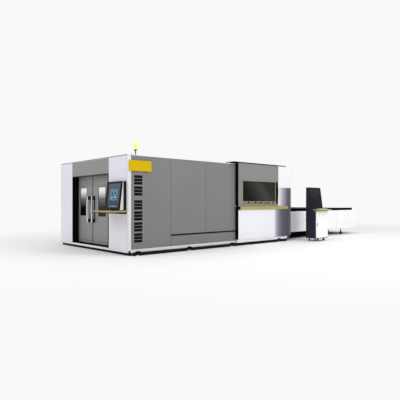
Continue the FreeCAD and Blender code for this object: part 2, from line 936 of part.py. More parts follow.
def side_door():
    """The bay's sliding door, with its window frame, dark glass and pull."""
    low = "ledge_top + running_gap"
    size = (
        "bay_split - leaf_gap - bay_start",
        "bay_door_depth",
        f"bay_top - running_gap - ({low})",
    )
    at = ("bay_start", "0 - bay_reach", low)
    frame_x = "bay_start + bay_frame_left"
    frame_end = "bay_split - leaf_gap - bay_frame_right"
    frame_size = (f"{frame_end} - ({frame_x})", "bay_frame_depth", "bay_frame_top - bay_frame_bottom")
    frame_y = "0 - bay_reach - bay_frame_proud"
    skin = tray("side_skin", size, at, 1, 1)
    hole = box(
        "side_hole",
        (frame_size[0], "bay_frame_depth", frame_size[2]),
        (frame_x, frame_y, "bay_frame_bottom"),
    )
    node("side_door_leaf", cut("side_door_leaf_cut", skin, hole))
    glass_x = f"{frame_x} + bay_stile_left"
    glass_end = f"{frame_end} - bay_stile_right"
    glass_z = "bay_frame_bottom + bay_rail_bottom"
    glass_high = f"bay_frame_top - bay_rail_top - ({glass_z})"
    blank = box("side_frame_blank", frame_size, (frame_x, frame_y, "bay_frame_bottom"))
    opening = box(
        "side_frame_hole", (f"{glass_end} - ({glass_x})", "bay_frame_depth", glass_high),
        (glass_x, frame_y, glass_z),
    )
    node("side_door_frame", cut("side_door_frame_cut", blank, opening))
    pane_y = f"{frame_y} + bay_frame_proud + glass_setback / 2"
    pane = box(
        "side_pane", (f"{glass_end} - ({glass_x})", "glass_thick", glass_high), (glass_x, pane_y, glass_z)
    )
    node("side_door_glass", pane)
    grip_x = f"{frame_end} - handle_wide / 2"
    handle(
        "side_door_handle", grip_x, frame_y, "bay_handle_bottom", "bay_handle_top", "bay_handle_reach", "y"
    )


# ---- gantry and head ----


def gantry():
    """A hollow cross beam on two trucks that ride on the bed's rails."""
    rail_top = "bed_beam_top + rail_size + running_gap"
    truck_z = rail_top
    beam_z = f"{rail_top} + truck_height"
    near_y = "bed_inner - (bed_beam + truck_width) / 2"
    far_y = f"hall_width - ({near_y}) - truck_width"
    parts = [
        tube(
            "gantry_beam_tube",
            ("gantry_beam", f"{far_y} + truck_width - ({near_y})", "gantry_height"),
            ("gantry_start", near_y, beam_z),
            1,
        )
    ]
    for k, y in enumerate((near_y, far_y)):
        at = ("gantry_start - (truck_length - gantry_beam) / 2", y, truck_z)
        parts.append(box(f"truck_{k}", ("truck_length", "truck_width", "truck_height"), at))
    node("gantry", group("gantry_group", parts))


def carriage():
    """The cross slide, at the middle of the beam at rest."""
    x = "gantry_start + gantry_beam + running_gap"
    y = "(hall_width - carriage_width) / 2"
    z = "bed_beam_top + rail_size + truck_height + (gantry_height - carriage_height) / 2"
    size = ("carriage_thick", "carriage_width", "carriage_height")
    node("carriage", box("carriage_block", size, (x, y, z)))


def cutting_head():
    """A slab on the carriage with a turned nozzle under it, at the top of its stroke."""
    top_of_slats = "upper_rail + running_gap + pallet_height + slat_rise"
    tip = f"{top_of_slats} + lining + nozzle_clear"
    x = "gantry_start + gantry_beam + carriage_thick + 2 * running_gap"
    block_z = f"{tip} + nozzle_height"
    block = box(
        "head_block",
        ("head_depth", "head_width", "head_body"),
        (x, "(hall_width - head_width) / 2", block_z),
    )
    profile = [
        ("0", "0"),
        ("tip_radius", "0"),
        ("nozzle_radius", "nozzle_height / 3"),
        ("nozzle_radius", "nozzle_height"),
        ("0", "nozzle_height"),
    ]
    nozzle = revolved("nozzle", profile, (f"{x} + head_depth / 2", "hall_width / 2", tip))
    node("cutting_head", fuse("cutting_head_fuse", [block, nozzle]))


# ---- pallets ----


def slats(name, at, length, count):
    """Saw-toothed slats across a pallet: one is drawn and the rest are a pattern along X."""
    body = new_body(name, at)
    body.AllowCompound = True
    teeth = int(number(length) // number("tooth_pitch"))
    high = "pallet_height - slat_foot + slat_rise"
    points = [("0", "0"), (length, "0")]
    for k in range(teeth, 0, -1):
        step = f"({length}) / {teeth}"
        points.append((f"{k} * {step}", f"{high} - tooth_depth"))
        points.append((f"({k} - 0.5) * {step}", high))
    points.append(("0", f"{high} - tooth_depth"))
    item = pad(body, outline(body, name + "_comb", "YZ_Plane", points), "slat_thick")
    pattern = body.newObject("PartDesign::LinearPattern", name + "_row")
    pattern.Originals = [item]
    pattern.Direction = (origin_item(body, "X_Axis"), [""])
    pattern.Occurrences = count
    bind(pattern, "Length", f"{count - 1} * slat_pitch")
    body.Tip = pattern
    return body


def pallet(label, x, rail):
    """Two side members and two end members with slats standing between them."""
    low_y = "bed_inner + pallet_gap"
    wide = f"hall_width - 2 * ({low_y})"
    z = f"{rail} + running_gap"
    inside = f"{wide} - 2 * pallet_side"
    inner_y = f"{low_y} + pallet_side"
    side = ("pallet_length", "pallet_side", "pallet_height")
    end = ("pallet_side", inside, "pallet_height")
    count = int((number("pallet_length") - 2 * number("pallet_side")) // number("slat_pitch"))
    first = f"{x} + (pallet_length - {count - 1} * slat_pitch - slat_thick) / 2"
    parts = [
        tube(label + "_near_side", side, (x, low_y, z), 0),
        tube(label + "_far_side", side, (x, f"{low_y} + {wide} - pallet_side", z), 0),
        tube(label + "_end_a", end, (x, inner_y, z), 1),
        tube(label + "_end_b", end, (f"{x} + pallet_length - pallet_side", inner_y, z), 1),
        slats(label + "_slats", (first, inner_y, f"{z} + slat_foot"), inside, count),
    ]
    node(label, group(label + "_group", parts))


# ---- exchange table ----


def table_side(name, beam_y, ledge_y, band_y):
    """One side of the table: a beam, posts, two pallet rails and the black top band."""
    run = "table_length - end_block"
    parts = [
        tube(
            name + "_beam",
            (run, "table_beam", "table_beam_top - table_beam_bottom"),
            ("hall_length", beam_y, "table_beam_bottom"),
            0,
        ),
        box(
            name + "_band",
            (f"{run} - panel_depth", "table_beam + panel_depth", "band_top - cover_top"),
            ("hall_length + panel_depth", band_y, "cover_top"),
        ),
    ]
    for k in range(3):
        at = (f"hall_length + table_post_first + {k} * table_post_pitch", beam_y, "table_beam_top")
        size = ("table_post", "table_beam", "cover_top - table_beam_top")
        parts.append(tube(f"{name}_post_{k}", size, at, 2))
    for level in ("upper_rail", "lower_rail"):
        at = ("hall_length + panel_depth", ledge_y, f"{level} - pallet_rail_thick")
        size = (f"{run} - panel_depth", "pallet_rail", "pallet_rail_thick")
        parts.append(box(f"{name}_{level}", size, at))
    return parts


def exchange_frame():
    near_y = "table_side + panel_depth"
    far_y = "hall_width - table_side - panel_depth - table_beam"
    far_rail = f"{far_y} - pallet_rail"
    near = table_side("near_table", near_y, f"{near_y} + table_beam", "table_side")
    far = table_side("far_table", far_y, far_rail, far_y)
    parts = near + far
    for k in range(3):
        x = f"hall_length + table_post_first + {k} * table_post_pitch"
        size = ("table_post", f"{far_y} - ({near_y}) - table_beam", "table_beam_top - table_beam_bottom")
        at = (x, f"{near_y} + table_beam", "table_beam_bottom")
        parts.append(tube(f"table_cross_{k}", size, at, 1))
    node("exchange_frame", group("exchange_frame_group", parts))


def exchange_covers():
    """White covers along both sides and round the closed end."""
    run = "table_length - panel_depth"
    high = "cover_top - cover_bottom"
    near = ("hall_length + panel_depth", "table_side", "cover_bottom")
    far = ("hall_length + panel_depth", "hall_width - table_side - panel_depth", "cover_bottom")
    wide = "hall_width - 2 * table_side"
    parts = [
        box("cover_near", (run, "panel_depth", high), near),
        box("cover_far", (run, "panel_depth", high), far),
        box(
            "cover_end",
            ("panel_depth", f"{wide} - 2 * panel_depth", high),
            (f"{TABLE_END} - panel_depth", "table_side + panel_depth", "cover_bottom"),
        ),
        tray(
            "cover_top_block",
            ("end_block", wide, "band_top - cover_top"),
            (f"{TABLE_END} - end_block", "table_side", "cover_top"),
            2,
            -1,
        ),
    ]
    node("exchange_covers", group("exchange_covers_group", parts))


def exchange_feet():
    """Tall conical feet under the table's side beams."""
    profile = [
        ("0", "0"),
        ("foot_radius + stem_radius", "0"),
        ("foot_radius + stem_radius", "foot_rim"),
        ("2 * stem_radius", "foot_cone"),
        ("stem_radius", "foot_cone"),
        ("stem_radius", "table_beam_bottom"),
        ("0", "table_beam_bottom"),
    ]
    near_y = "table_side + panel_depth + table_beam / 2"
    feet = []
    for k in range(3):
        x = f"hall_length + table_post_first + table_post / 2 + {k} * table_post_pitch"
        for j, y in enumerate((near_y, f"hall_width - ({near_y})")):
            feet.append(revolved(f"table_foot_{k}_{j}", profile, (x, y, "0")))
    node("exchange_feet", group("exchange_feet_group", feet))


# ---- console on the near column ----

CONSOLE_SLOPE = "atan((console_nose_bottom - console_nose_top) / console_height)"


def on_console(across, up, out):
    """A place on the console's tilted face, from its low far corner: across +Y, up the slope, out."""
    x = (
        f"0 - console_back - console_nose_bottom + ({up}) * sin({CONSOLE_SLOPE})"
        f" - ({out}) * cos({CONSOLE_SLOPE})"
    )
    z = f"console_bottom + ({up}) * cos({CONSOLE_SLOPE}) + ({out}) * sin({CONSOLE_SLOPE})"
    return (x, f"console_start + ({across})", z)


def console_housing():
    """A black back box with a wedge in front of it."""
    size = ("console_back", "console_width", "console_height")
    back = box("console_box", size, ("0 - console_back", "console_start", "console_bottom"))
    low = "console_nose_bottom"
    points = [
        ("0", "0"),
        (low, "0"),
        (low, "console_height"),
        ("console_nose_bottom - console_nose_top", "console_height"),
    ]
    nose_at = ("0 - console_back - console_nose_bottom", "console_start", "console_bottom")
    wedge = new_body("console_nose", nose_at)
    sketch = outline(wedge, "console_nose_outline", "XZ_Plane", points)
    pad(wedge, sketch, "console_width", reverse=True)
    return fuse("console_housing_fuse", [back, wedge])


def console_plate(name, across, up, size, out):
    """A plate lying on the tilted face: size is thickness, width and length up the slope."""
    plate = box(name, size, on_console(across, up, f"{out} + {size[0]}"))
    turn(plate, (0, 1, 0), CONSOLE_SLOPE)
    return plate


def console_buttons():
    """A stop button and three push buttons down the far side of the face."""
    rows = [f"button_first + {k} * button_pitch" for k in range(4)]
    names = ["stop_button", "push_button_1", "push_button_2", "push_button_3"]
    across = "console_width - bezel_margin - button_strip / 2"
    holes = []
    for name, up in zip(names, rows):
        cap = "stop_radius" if name == "stop_button" else "button_radius"
        # The stem's foot stays clear of the housing when the button is pressed home.
        stem_foot = "button_travel + running_gap"
        stem_length = f"button_stand + bezel_thick - ({stem_foot})"
        stem = rod(name + "_stem", "button_stem", stem_length, on_console(across, up, stem_foot))
        head = rod(
            name + "_cap", cap, "button_high", on_console(across, up, "bezel_thick + button_stand")
        )
        hole = rod(
            name + "_hole", "button_stem + pin_play", "2 * bezel_thick", on_console(across, up, "0")
        )
        for item in (stem, head, hole):
            turn(item, (0, 1, 0), f"{CONSOLE_SLOPE} - 90 deg")
        node(name, fuse(name + "_fuse", [stem, head]))
        holes.append(hole)
    return holes


def console():
    node("console_housing", console_housing())
    slope = f"console_height / cos({CONSOLE_SLOPE})"
    wide = "console_width - 2 * bezel_margin"
    tall = f"{slope} - 2 * bezel_margin"
    bezel = console_plate("bezel_plate", "bezel_margin", "bezel_margin", ("bezel_thick", wide, tall), "0")
    holes = console_buttons()
    node("console_bezel", cut("console_bezel_cut", bezel, group("button_holes", holes)))
    screen_size = (
        "screen_thick",
        f"{wide} - button_strip - screen_margin",
        f"{tall} - 2 * screen_margin",
    )
    start = "bezel_margin + screen_margin"
    node("console_screen", console_plate("screen_plate", start, start, screen_size, "bezel_thick"))


def console_shelf():
    """A yellow shelf with rounded outer corners and a shallow recess in its top."""
    low = "shelf_top - shelf_thick"
    body = new_body("console_shelf_body", ("0 - shelf_reach", "shelf_start", low))
    edge = round_rim(("shelf_reach", "shelf_width"), "shelf_radius")
    pad(body, outline(body, "shelf_outline", "XY_Plane", edge), "shelf_thick")
    rim = "shelf_rim"
    inner_r = "(shelf_radius - shelf_rim)"
    far = f"(shelf_width - {rim})"
    recess = [
        (f"shelf_reach - {rim}", rim),
        (f"shelf_reach - {rim}", far),
        ("shelf_radius", far),
        (rim, f"{far} - {inner_r}", "shelf_radius", f"{far} - {inner_r}"),
        (rim, "shelf_radius"),
        ("shelf_radius", rim, "shelf_radius", "shelf_radius"),
    ]
    sketch = outline(body, "shelf_recess_outline", "XY_Plane", recess)
    bind(sketch, "AttachmentOffset.Base.z", "shelf_thick")
    pocket(body, sketch, "shelf_recess")
    node("console_shelf", body)


# ---- kiosk ----


def kiosk_cabinet():
    """A carcass of folded panels with a top board behind the tray.

    The base and the top panel reach over the door and hold its pins.
    """
    x = "kiosk_start"
    front = "0 - kiosk_front"
    wall = "kiosk_wall"
    top_z = "kiosk_desk - kiosk_board - kiosk_wall"
    inner_y = f"{front} + kiosk_door_setback"
    side_deep = "kiosk_depth - kiosk_door_setback"
    side_high = f"{top_z} - kiosk_bottom - {wall}"
    side_z = f"kiosk_bottom + {wall}"
    base = box("kiosk_base_blank", ("kiosk_width", "kiosk_depth", wall), (x, front, "kiosk_bottom"))
    top = box("kiosk_top_blank", ("kiosk_width", "kiosk_depth", wall), (x, front, top_z))
    pin_x = f"{x} + kiosk_width - kiosk_pin_inset"
    pin_y = f"{front} + {wall} / 2"
    pin_bore = "kiosk_pin + pin_play"
    pin_depth = "kiosk_pin_length + pin_end_play"
    bores = [rod("base_pin_bore", pin_bore, wall, (pin_x, pin_y, f"{side_z} - ({pin_depth})"))]
    for k, (cx, cy) in enumerate(caster_spots()[:2]):
        at = (cx, cy, "kiosk_bottom")
        bores.append(rod(f"king_bore_{k}", "king_pin + pin_play", "king_pin_length + pin_end_play", at))
    top_bore = rod("top_pin_bore", pin_bore, pin_depth, (pin_x, pin_y, top_z))
    parts = [
        cut("kiosk_base", base, group("kiosk_base_bores", bores)),
        cut("kiosk_top_panel", top, top_bore),
        box("kiosk_left", (wall, side_deep, side_high), (x, inner_y, side_z)),
        box(
            "kiosk_right",
            (wall, side_deep, side_high),
            (f"{x} + kiosk_width - {wall}", inner_y, side_z),
        ),
        box(
            "kiosk_board",
            ("kiosk_width", "kiosk_depth - kiosk_tray_back", "kiosk_board"),
            (x, f"{front} + kiosk_tray_back", "kiosk_desk - kiosk_board"),
        ),
        box(
            "kiosk_back",
            (f"kiosk_width - 2 * {wall}", wall, side_high),
            (f"{x} + {wall}", f"{front} + kiosk_depth - {wall}", side_z),
        ),
    ]
    node("kiosk_cabinet", group("kiosk_cabinet_group", parts))


def kiosk_door():
    """A door that turns on two pins near its right edge, with a bore for the lock."""
    x = "kiosk_start"
    front = "0 - kiosk_front"
    low = "kiosk_bottom + kiosk_wall + 2 * running_gap"
    high = "kiosk_desk - kiosk_board - kiosk_wall - 2 * running_gap"
    slab = box("kiosk_door_slab", ("kiosk_width", "kiosk_wall", f"{high} - ({low})"), (x, front, low))
    pin_x = f"{x} + kiosk_width - kiosk_pin_inset"
    pin_y = f"{front} + kiosk_wall / 2"
    length = "kiosk_pin_length + 2 * running_gap"
    pins = [
        rod("low_door_pin", "kiosk_pin", length, (pin_x, pin_y, f"{low} - ({length})")),
        rod("top_door_pin", "kiosk_pin", length, (pin_x, pin_y, high)),
    ]
    lock_x = f"{x} + lock_inset"
    bore = rod(
        "lock_bore", "lock_radius + pin_play", "kiosk_wall", (lock_x, front, "lock_height"), (0, 1, 0)
    )
    node("kiosk_door", cut("kiosk_door_cut", fuse("kiosk_door_fuse", [slab] + pins), bore))
    barrel_at = (lock_x, f"{front} - sheet", "lock_height")
    flange = rod("lock_flange_disc", "lock_flange", "sheet", barrel_at, (0, 1, 0))
    barrel = rod("lock_barrel", "lock_radius", "kiosk_wall + 2 * sheet", barrel_at, (0, 1, 0))
    cam = box(
        "lock_cam_bar",
        ("lock_cam", "sheet", "lock_radius"),
        (f"{lock_x} - lock_cam + lock_radius", f"{front} + kiosk_wall", "lock_height - lock_radius / 2"),
    )
    node("kiosk_lock", fuse("kiosk_lock_fuse", [flange, barrel, cam]))


KIOSK_SLOPE = "atan((kiosk_head_bottom - kiosk_head_top) / (kiosk_top - kiosk_desk))"
KIOSK_HEAD_X = "kiosk_start - (kiosk_head_width - kiosk_width) / 2"
KIOSK_BACK = "kiosk_depth - kiosk_front - kiosk_head_inset"


def kiosk_head():
    """A wedge head on the desk, leaning back, with a glass face plate."""
    tall = "kiosk_top - kiosk_desk"
    points = [
        ("0", "0"),
        ("kiosk_head_bottom", "0"),
        ("kiosk_head_bottom", tall),
        ("kiosk_head_bottom - kiosk_head_top", tall),
    ]
    front_y = f"{KIOSK_BACK} - kiosk_head_bottom"
    body = new_body("kiosk_head_body", (KIOSK_HEAD_X, front_y, "kiosk_desk"))
    pad(body, outline(body, "kiosk_head_outline", "YZ_Plane", points), "kiosk_head_width")
    node("kiosk_head", body)
    slope_length = f"({tall}) / cos({KIOSK_SLOPE})"
    margin = "screen_margin"
    plate = box(
        "kiosk_screen_plate",
        (f"kiosk_head_width - 2 * {margin}", "sheet", f"{slope_length} - 2 * {margin}"),
        (
            f"{KIOSK_HEAD_X} + {margin}",
            f"{front_y} + {margin} * sin({KIOSK_SLOPE}) - sheet * cos({KIOSK_SLOPE})",
            f"kiosk_desk + {margin} * cos({KIOSK_SLOPE}) + sheet * sin({KIOSK_SLOPE})",
        ),
    )
    turn(plate, (-1, 0, 0), KIOSK_SLOPE)
    node("kiosk_screen", plate)


def kiosk_desk():
    """A yellow tray with rounded front corners, a keyboard and a mouse resting on it."""
    wide = "kiosk_width + 2 * kiosk_tray_side"
    deep = "kiosk_tray_reach + kiosk_tray_back"
    body = new_body(
        "kiosk_tray_body",
        ("kiosk_start - kiosk_tray_side", "0 - kiosk_front - kiosk_tray_reach", "kiosk_desk - kiosk_board"),
    )
    points = [
        ("shelf_radius", "0", "shelf_radius", "shelf_radius"),
        (f"{wide} - shelf_radius", "0"),
        (wide, "shelf_radius", f"{wide} - shelf_radius", "shelf_radius"),
        (wide, deep),
        ("0", deep),
        ("0", "shelf_radius"),
    ]
    pad(body, outline(body, "kiosk_tray_outline", "XY_Plane", points), "kiosk_board")
    node("kiosk_tray", body)
    desk_y = "0 - kiosk_front - kiosk_tray_reach + screen_margin"
    keyboard = box(
        "keyboard_block",
        ("keyboard_length", "keyboard_width", "keyboard_thick"),
        ("kiosk_start + screen_margin", desk_y, "kiosk_desk"),
    )
    node("kiosk_keyboard", keyboard)
    mouse = doc.addObject("Part::Ellipsoid", "mouse_dome")
    bind(mouse, "Radius1", "mouse_height")
    bind(mouse, "Radius2", "mouse_width / 2")
    bind(mouse, "Radius3", "mouse_length / 2")
    mouse.Angle1 = 0
    mouse.Angle2 = 90
    mouse_x = "kiosk_start + keyboard_length + mouse_start"
    place(mouse, (mouse_x, f"{desk_y} + keyboard_width / 2", "kiosk_desk"))
    node("kiosk_mouse", mouse)


def caster_spots():
    """Swivel axes of the casters: the two at the front, then the two at the back."""
    left = "kiosk_start + caster_inset"
    right = "kiosk_start + kiosk_width - caster_inset"
    front = "caster_inset - kiosk_front"
    back = "kiosk_depth - kiosk_front - caster_inset"
    return [(left, front), (right, front), (left, back), (right, back)]


def fork(name, x, y, pin):
    """A caster fork: a crown with two cheeks bored for the axle, and a king pin if it swivels."""
    wide = "wheel_width + 2 * cheek_gap + 2 * cheek"
    low = f"({x}) - ({wide}) / 2"
    crown_z = "kiosk_bottom - running_gap - crown" if pin else "kiosk_bottom - crown"
    crown = box(
        name + "_crown",
        (wide, "caster_trail + 4 * wheel_bore", "crown"),
        (low, f"{y} - 2 * wheel_bore", crown_z),
    )
    parts = [crown]
    cheek_z = "wheel_radius - 2 * wheel_bore"
    cheek_size = ("cheek", "4 * wheel_bore", f"{crown_z} - ({cheek_z})")
    for k, cx in enumerate((low, f"{low} + {wide} - cheek")):
        at = (cx, f"{y} + caster_trail - 2 * wheel_bore", cheek_z)
        parts.append(box(f"{name}_cheek_{k}", cheek_size, at))
    if pin:
        at = (x, y, "kiosk_bottom - running_gap - pin_end_play")
        parts.append(rod(name + "_king", "king_pin", "king_pin_length", at))
    bore_at = (low, f"{y} + caster_trail", "wheel_radius")
    bore = rod(name + "_bore", "wheel_bore + pin_play", wide, bore_at, (1, 0, 0))
    return cut(name + "_cut", fuse(name + "_fuse", parts), bore)


def caster_wheel(label, x, y):
    """A wheel with its axle as one turned piece, across X."""
    wide = "wheel_width + 2 * cheek_gap + 2 * cheek"
    centre_y = f"{y} + caster_trail"
    tyre_at = (f"{x} - wheel_width / 2", centre_y, "wheel_radius")
    axle_at = (f"{x} - ({wide}) / 2", centre_y, "wheel_radius")
    tyre = rod(label + "_tyre", "wheel_radius", "wheel_width", tyre_at, (1, 0, 0))
    axle = rod(label + "_axle", "wheel_bore", wide, axle_at, (1, 0, 0))
    node(label, fuse(label + "_fuse", [tyre, axle]))


def casters():
    names = ["front_left", "front_right", "rear_left", "rear_right"]
    rear = []
    for k, (name, (x, y)) in enumerate(zip(names, caster_spots())):
        item = fork(f"{name}_fork", x, y, pin=k < 2)
        if k < 2:
            node(f"{name}_caster", item)
        else:
            rear.append(item)
        caster_wheel(f"{name}_wheel", x, y)
    node("rear_casters", group("rear_casters_group", rear))


def check_and_write():
    """Stops on a failed object or an unsound shape, then writes one STEP file for each sub-part."""
    doc.recompute()
    failed = [item.Name for item in doc.Objects if {"Invalid", "Error"} & set(item.State)]
    if failed:
        raise RuntimeError("failed objects: " + ", ".join(failed))
    for item in nodes:
        if item.Shape.isNull() or not item.Shape.isValid() or not item.Shape.Solids:
            raise RuntimeError("unsound shape: " + item.Label)
    os.makedirs("parts", exist_ok=True)
    for item in nodes:
        item.Shape.exportStep(f"parts/{item.Label}.step")
        print(f"{item.Label}: {len(item.Shape.Solids)} solids, {item.Shape.Volume / 1e6:.3f} litres")


fill_sheet()
levelling_feet()
base_frame()
enclosure_frame()
base_rail()
column("near_corner_column", "near_column", ("0", "0", "end_skin_bottom"), True)
column("far_corner_column", "far_column", ("0", FAR_COLUMN, "end_skin_bottom"), False)
door_header()
door_surround()
end_doors()
side_panels()
far_side_wall()
exit_wall()
roof()
sign_plate()
lamp()
bay_fixed()
bay_roof_cap()
side_door()
gantry()
carriage()
cutting_head()
pallet("lower_pallet", "pallet_start", "lower_rail")
pallet("upper_pallet", "pallet_start + pallet_travel", "upper_rail")
exchange_frame()
exchange_covers()
exchange_feet()
console()
console_shelf()
kiosk_cabinet()
kiosk_door()
kiosk_head()
kiosk_desk()
casters()
check_and_write()
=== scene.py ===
"""Looks of an enclosed sheet-cutting machine with a swap table and an operator kiosk.

Laid out as a Blender add-on. The CAD frame gives every place and size. Each operator makes one
piece or one group of like pieces around it, in metres.
"""

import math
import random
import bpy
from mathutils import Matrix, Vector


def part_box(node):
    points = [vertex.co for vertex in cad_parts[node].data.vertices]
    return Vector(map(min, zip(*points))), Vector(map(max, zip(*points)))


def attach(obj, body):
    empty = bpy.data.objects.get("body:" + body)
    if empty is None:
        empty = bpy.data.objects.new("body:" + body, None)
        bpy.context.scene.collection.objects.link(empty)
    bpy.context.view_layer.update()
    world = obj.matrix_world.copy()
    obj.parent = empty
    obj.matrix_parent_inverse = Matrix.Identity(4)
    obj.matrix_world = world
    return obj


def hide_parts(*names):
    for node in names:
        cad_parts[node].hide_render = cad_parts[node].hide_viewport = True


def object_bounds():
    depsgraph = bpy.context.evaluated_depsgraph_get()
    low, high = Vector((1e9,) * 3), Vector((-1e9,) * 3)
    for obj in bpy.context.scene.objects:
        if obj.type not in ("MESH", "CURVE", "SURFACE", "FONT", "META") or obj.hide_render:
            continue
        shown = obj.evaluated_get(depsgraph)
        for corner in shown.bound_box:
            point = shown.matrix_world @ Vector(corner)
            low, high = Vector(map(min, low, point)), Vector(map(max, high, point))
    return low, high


bl_info = {
    "name": "Sheet cutting machine looks",
    "version": (1, 0, 0),
    "blender": (4, 5, 0),
    "location": "View3D > Sidebar > Machine",
    "description": "Finishes and details for an enclosed sheet-cutting machine",
    "category": "Object",
}

import bmesh
import bpy
from bpy.props import FloatProperty, FloatVectorProperty, IntProperty, PointerProperty
from mathutils import Vector

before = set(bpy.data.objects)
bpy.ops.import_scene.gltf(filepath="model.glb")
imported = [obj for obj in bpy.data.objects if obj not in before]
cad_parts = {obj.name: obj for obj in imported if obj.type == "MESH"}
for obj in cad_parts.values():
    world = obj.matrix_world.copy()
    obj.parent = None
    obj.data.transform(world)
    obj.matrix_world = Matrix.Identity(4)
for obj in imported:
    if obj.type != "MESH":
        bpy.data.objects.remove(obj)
CAD_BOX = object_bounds()

X = Vector((1, 0, 0))
Y = Vector((0, 1, 0))
Z = Vector((0, 0, 1))
finishes = {}


# ---- settings ----


def paint_colour(name, description, default):
    return FloatVectorProperty(
        name=name, description=description, default=default, subtype="COLOR", min=0, max=1
    )


class PaintSettings(bpy.types.PropertyGroup):
    """Colours of the paints and plastics, as linear light."""

    white: paint_colour("White coat", "Columns, covers and bay", (0.83, 0.83, 0.875))
    side_grey: paint_colour("Side grey", "Long side panels", (0.195, 0.195, 0.197))
    door_grey: paint_colour("Door grey", "Front doors and header", (0.265, 0.266, 0.26))
    bay_grey: paint_colour("Bay grey", "Sliding side door", (0.225, 0.225, 0.225))
    black: paint_colour("Black coat", "Linings, rails and bands", (0.0025, 0.0025, 0.003))
    navy: paint_colour("Navy coat", "Console and kiosk", (0.0065, 0.0055, 0.012))
    sign_yellow: paint_colour("Sign yellow", "Plate at the corner", (0.68, 0.45, 0.0005))
    ledge_yellow: paint_colour("Ledge yellow", "Ledges, shelf and window border", (0.385, 0.325, 0.10))
    glow: paint_colour("Screen drawing", "Lines on the console screen", (0.10, 0.62, 0.86))


class DetailSettings(bpy.types.PropertyGroup):
    """Sizes of the added details."""

    edge: FloatProperty(
        name="Edge round", description="Rounding on the frame's own edges",
        default=0.003, min=0, unit="LENGTH",
    )
    gasket: FloatProperty(
        name="Gasket width", description="Rubber seal round each pane",
        default=0.012, min=0.001, unit="LENGTH",
    )
    grip_radius: FloatProperty(
        name="Grip radius", description="Half thickness of a pull's grip",
        default=0.013, min=0.002, unit="LENGTH",
    )
    bar_count: IntProperty(
        name="Side bars", description="Plain black blocks on the first side panel", default=6, min=1
    )
    louvre_count: IntProperty(
        name="Louvres", description="Slots in each vent of the far side", default=9, min=1
    )


class StageSettings(bpy.types.PropertyGroup):
    """Camera and light."""

    camera_place: FloatVectorProperty(
        name="Camera place", description="Where the camera stands", subtype="TRANSLATION",
        default=(-10.793, -9.945, 1.285), unit="LENGTH",
    )
    heading: FloatProperty(
        name="Heading", description="Camera heading from +Y towards +X",
        default=math.radians(42.03), subtype="ANGLE", unit="ROTATION",
    )
    lens: FloatProperty(name="Lens", description="Focal length in millimetres", default=38.34)
    shift: FloatProperty(name="Shift", description="Upward shift of the view", default=0.0045)
    sky_seen: FloatProperty(name="Backdrop", description="Brightness behind the machine", default=0.945)
    sky_light: FloatProperty(name="Sky light", description="Soft light from all round", default=0.72)
    softbox: FloatProperty(
        name="Softbox", description="Power of the long side's softbox in watts", default=900
    )


def paint():
    return bpy.context.scene.machine_paint


def detail():
    return bpy.context.scene.machine_detail


def stage_settings():
    return bpy.context.scene.machine_stage


# ---- reading the frame ----


def span(node):
    """Lowest and highest corners of a CAD node."""
    low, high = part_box(node)
    return Vector(low), Vector(high)


def solids(node):
    """Lowest and highest corners of each separate solid in a CAD node, along X, Y, then Z."""
    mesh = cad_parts[node].data
    keys = [tuple(round(c, 5) for c in v.co) for v in mesh.vertices]
    parent = {key: key for key in keys}

    def root(key):
        while parent[key] != key:
            parent[key] = parent[parent[key]]
            key = parent[key]
        return key

    for polygon in mesh.polygons:
        first = root(keys[polygon.vertices[0]])
        for index in polygon.vertices[1:]:
            parent[root(keys[index])] = first
    groups = {}
    for key in parent:
        groups.setdefault(root(key), []).append(key)
    boxes = []
    for corners in groups.values():
        low = Vector([min(c[k] for c in corners) for k in range(3)])
        high = Vector([max(c[k] for c in corners) for k in range(3)])
        boxes.append((low, high))
    return sorted(boxes, key=lambda box: tuple(round(c, 3) for c in box[0]))


def flat_side(node, outward):
    """The large flat side of a node that faces outward: its centre, across, up and outward axes
    and its width and height."""
    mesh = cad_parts[node].data
    facing = [p for p in mesh.polygons if p.normal.dot(outward) > 0.5]
    best = max(facing, key=lambda p: p.area)
    normal = best.normal.normalized()
    level = best.center.dot(normal)
    across = Z.cross(normal).normalized()
    up = normal.cross(across).normalized()
    corners = [
        mesh.vertices[i].co
        for p in mesh.polygons
        if p.normal.dot(normal) > 0.999 and abs(p.center.dot(normal) - level) < 0.0005
        for i in p.vertices
    ]
    spread = [(c.dot(across), c.dot(up)) for c in corners]
    low = (min(s[0] for s in spread), min(s[1] for s in spread))
    high = (max(s[0] for s in spread), max(s[1] for s in spread))
    centre = (across * ((low[0] + high[0]) / 2) + up * ((low[1] + high[1]) / 2) + normal * level)
    return centre, across, up, normal, high[0] - low[0], high[1] - low[1]


# ---- making meshes ----


# The slot that a finish goes by, unless a piece names its own.
SLOTS = {
    "black coat": "black_paint", "table black": "black_paint", "black rubber": "black_rubber",
    "black plastic": "console_black", "navy coat": "console_navy", "white coat": "white_paint",
    "seam shade": "white_paint", "side grey": "grey_paint", "door grey": "door_grey",
    "sign yellow": "sign_yellow", "border olive": "ledge_yellow", "brown strip": "ledge_yellow",
    "lamp yellow": "lamp_yellow", "screen drawing": "screen_glass", "screen grey": "screen_glass",
    "key cream": "key_cream", "copper tip": "head_alloy", "rail steel": "handle_silver",
    "bright alloy": "handle_silver", "cheek silver": "handle_silver",
}


def add_object(name, data):
    made = bpy.data.objects.new(name, data)
    bpy.context.scene.collection.objects.link(made)
    return made


def new_piece(name, bm, finish, body="machine", slot=None, smooth_angle=35):
    """Turns a bmesh into a named object with one finish that rides on a body."""
    slot = slot or SLOTS[finish]
    mesh = bpy.data.meshes.new(name)
    bmesh.ops.recalc_face_normals(bm, faces=bm.faces)
    bm.to_mesh(mesh)
    bm.free()
    mesh.shade_smooth()
    mesh.set_sharp_from_angle(angle=math.radians(smooth_angle))
    mesh.materials.append(finishes[finish])
    piece = add_object(name, mesh)
    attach(piece, body)
    return piece


